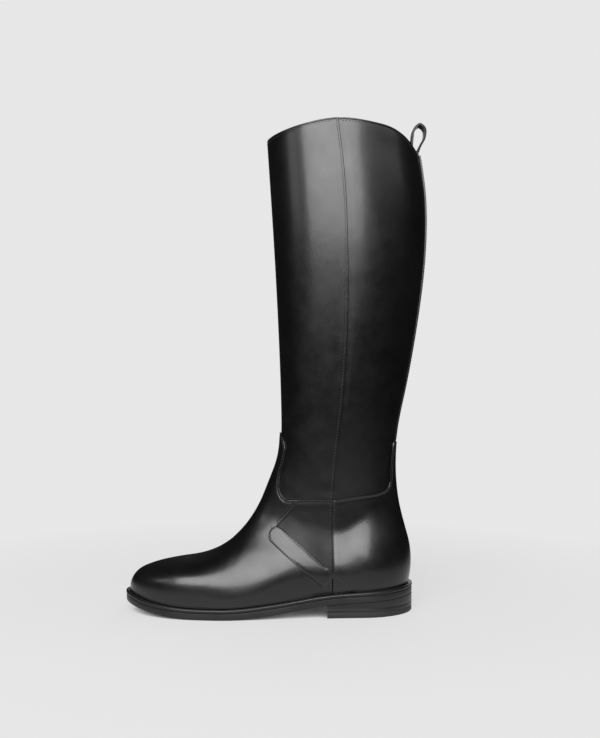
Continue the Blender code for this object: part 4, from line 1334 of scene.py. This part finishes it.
def make_pull():
    """The flat pull with its slot, its top bar round the hinge and a raised grip rim."""
    pull = bmesh.new()
    centre = 1.0
    low, high = PULL_HINGE - 0.5, PULL_HINGE + 0.5
    for sign in (-1, 1):
        rail = [(1.35, -5.6), (2.5, -5.6), (2.6, -0.4), (2.2, 0.5), (1.35, 0.5)]
        points = [(sign * x, centre + z) for x, z in rail]
        add_plate(pull, points if sign > 0 else points[::-1], low, high)
    add_block(pull, (-1.6, 1.6), (low, high), (centre - 0.5, centre + 0.5))
    right = [(2.5, -5.4), (2.6, -8.0), (3.3, -19.5), (2.9, -22.2), (1.6, -23.4)]
    tab = [(-2.5, -5.4)] + right + [(-x, z) for x, z in right[:0:-1]]
    add_plate(pull, [(x, centre + z) for x, z in tab][::-1], low, high)
    for k in range(5):
        z = centre - 12.0 - 1.8 * k
        add_block(pull, (-1.9, 1.9), (high - 0.1, high + 0.22), (z - 0.4, z + 0.4))
    zip_metal_piece("zip_pull_tab", pull, 0.16, "pull", "zip_pull")


def dress_hidden_nodes():
    """The CAD pieces that stay as they are, inside the boot and under the heel."""
    kept = {
        "toe_puff": STIFFENER, "heel_counter": STIFFENER, "insole_board": BOARD, "bottom_filler": BOARD,
        "shank": STEEL,
    }
    kept.update({f"heel_nail_{k}": STEEL for k in range(1, 6)})
    for name, material in kept.items():
        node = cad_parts[name]
        node.data.materials.clear()
        node.data.materials.append(material)


# Studio


PALE = 0.80
ROOM = 0.02
SHADE = 0.3
FLOOR_LIGHT = 1.98
# How far the painted contact shadow on the floor reaches.
PAINTED_SHADE_REACH = 0.035  # metres


def make_floor():
    """A pale floor that fades into the backdrop. Most of its brightness is an even glow that ambient
    occlusion darkens near the boot, a painted contact shadow; its matt share takes real shadows.
    """
    bpy.ops.mesh.primitive_plane_add(size=3, location=(0, 0, 0))
    floor = bpy.context.object
    floor.name = "studio_floor"
    material, tree, shader, where = new_material("pale_floor")
    matt = SHADE * PALE / FLOOR_LIGHT
    shader.inputs["Base Color"].default_value = (matt, matt, matt, 1)
    shader.inputs["Roughness"].default_value = 1.0
    shader.inputs["Specular IOR Level"].default_value = 0.0
    shader.inputs["Emission Color"].default_value = (1, 1, 1, 1)
    # Painted contact shadow: ambient occlusion darkens the floor's even glow under and beside the boot.
    painted_contact_shade = tree.nodes.new("ShaderNodeAmbientOcclusion")
    painted_contact_shade.inputs["Distance"].default_value = PAINTED_SHADE_REACH
    glow_with_painted_shade = ramp(tree, painted_contact_shade.outputs["AO"], 0.0, 0.32, 0.0, (1 - SHADE) * PALE)
    tree.links.new(glow_with_painted_shade, shader.inputs["Emission Strength"])
    length = tree.nodes.new("ShaderNodeVectorMath")
    length.operation = "LENGTH"
    tree.links.new(where, length.inputs[0])
    faded = ramp(tree, length.outputs["Value"], 0.22, 0.55)
    clear = tree.nodes.new("ShaderNodeBsdfTransparent")
    mixed = tree.nodes.new("ShaderNodeMixShader")
    tree.links.new(faded, mixed.inputs["Fac"])
    tree.links.new(shader.outputs["BSDF"], mixed.inputs[1])
    tree.links.new(clear.outputs["BSDF"], mixed.inputs[2])
    tree.links.new(mixed.outputs["Shader"], tree.nodes["Material Output"].inputs["Surface"])
    floor.data.materials.append(material)


def make_world():
    """A pale backdrop that also lights the floor, and a dim room in the reflections."""
    world = bpy.data.worlds.new("studio")
    bpy.context.scene.world = world
    world.use_nodes = True
    tree = world.node_tree
    room = tree.nodes["Background"]
    room.inputs["Color"].default_value = (ROOM, ROOM, ROOM, 1)
    backdrop = tree.nodes.new("ShaderNodeBackground")
    backdrop.inputs["Color"].default_value = (PALE, PALE, PALE, 1)
    path = tree.nodes.new("ShaderNodeLightPath")
    mixed = tree.nodes.new("ShaderNodeMixShader")
    tree.links.new(path.outputs["Is Glossy Ray"], mixed.inputs["Fac"])
    tree.links.new(backdrop.outputs["Background"], mixed.inputs[1])
    tree.links.new(room.outputs["Background"], mixed.inputs[2])
    tree.links.new(mixed.outputs["Shader"], tree.nodes["World Output"].inputs["Surface"])


def add_light(name, place_at, target, size, energy):
    data = bpy.data.lights.new(name, "AREA")
    data.shape = "RECTANGLE"
    data.size, data.size_y = size
    data.energy = energy
    light = bpy.data.objects.new(name, data)
    bpy.context.scene.collection.objects.link(light)
    light.location = place_at
    light.rotation_euler = (Vector(target) - Vector(place_at)).to_track_quat("-Z", "Y").to_euler()
    return light


def make_lights():
    add_light("key_softbox", (1.17, -0.2, 0.95), (0, 0.05, 0.33), (1.4, 1.0), 33)
    add_light("front_softbox", (0.62, -1.0, 0.66), (0, 0.0, 0.38), (0.35, 0.35), 0.85)
    add_light("heel_softbox", (0.80, 0.88, 1.0), (0, 0.1, 0.1), (0.9, 0.6), 2.0)
    add_light("inner_softbox", (-1.5, 0.4, 0.9), (0, 0.0, 0.25), (1.2, 1.0), 8)


def make_camera():
    data = bpy.data.cameras.new("photo_camera")
    data.lens = 46.3
    data.sensor_width = 36.0
    camera = bpy.data.objects.new("photo_camera", data)
    bpy.context.scene.collection.objects.link(camera)
    camera.location = (0.9176, 0.0222, 0.2306)
    camera.rotation_euler = (math.pi / 2, 0, math.pi / 2)
    bpy.context.scene.camera = camera


make_camera()
make_world()
make_lights()
make_floor()
make_vamp()
make_quarter()
make_ankle_panel()
make_strap()
make_shaft_front()
make_shaft_rear()
make_back_stay()
make_pull_loop()
make_linings()
sew_upper()
make_sole()
make_insole()
make_zip()
make_slider()
dress_hidden_nodes()
bpy.context.scene.view_settings.view_transform = "Standard"
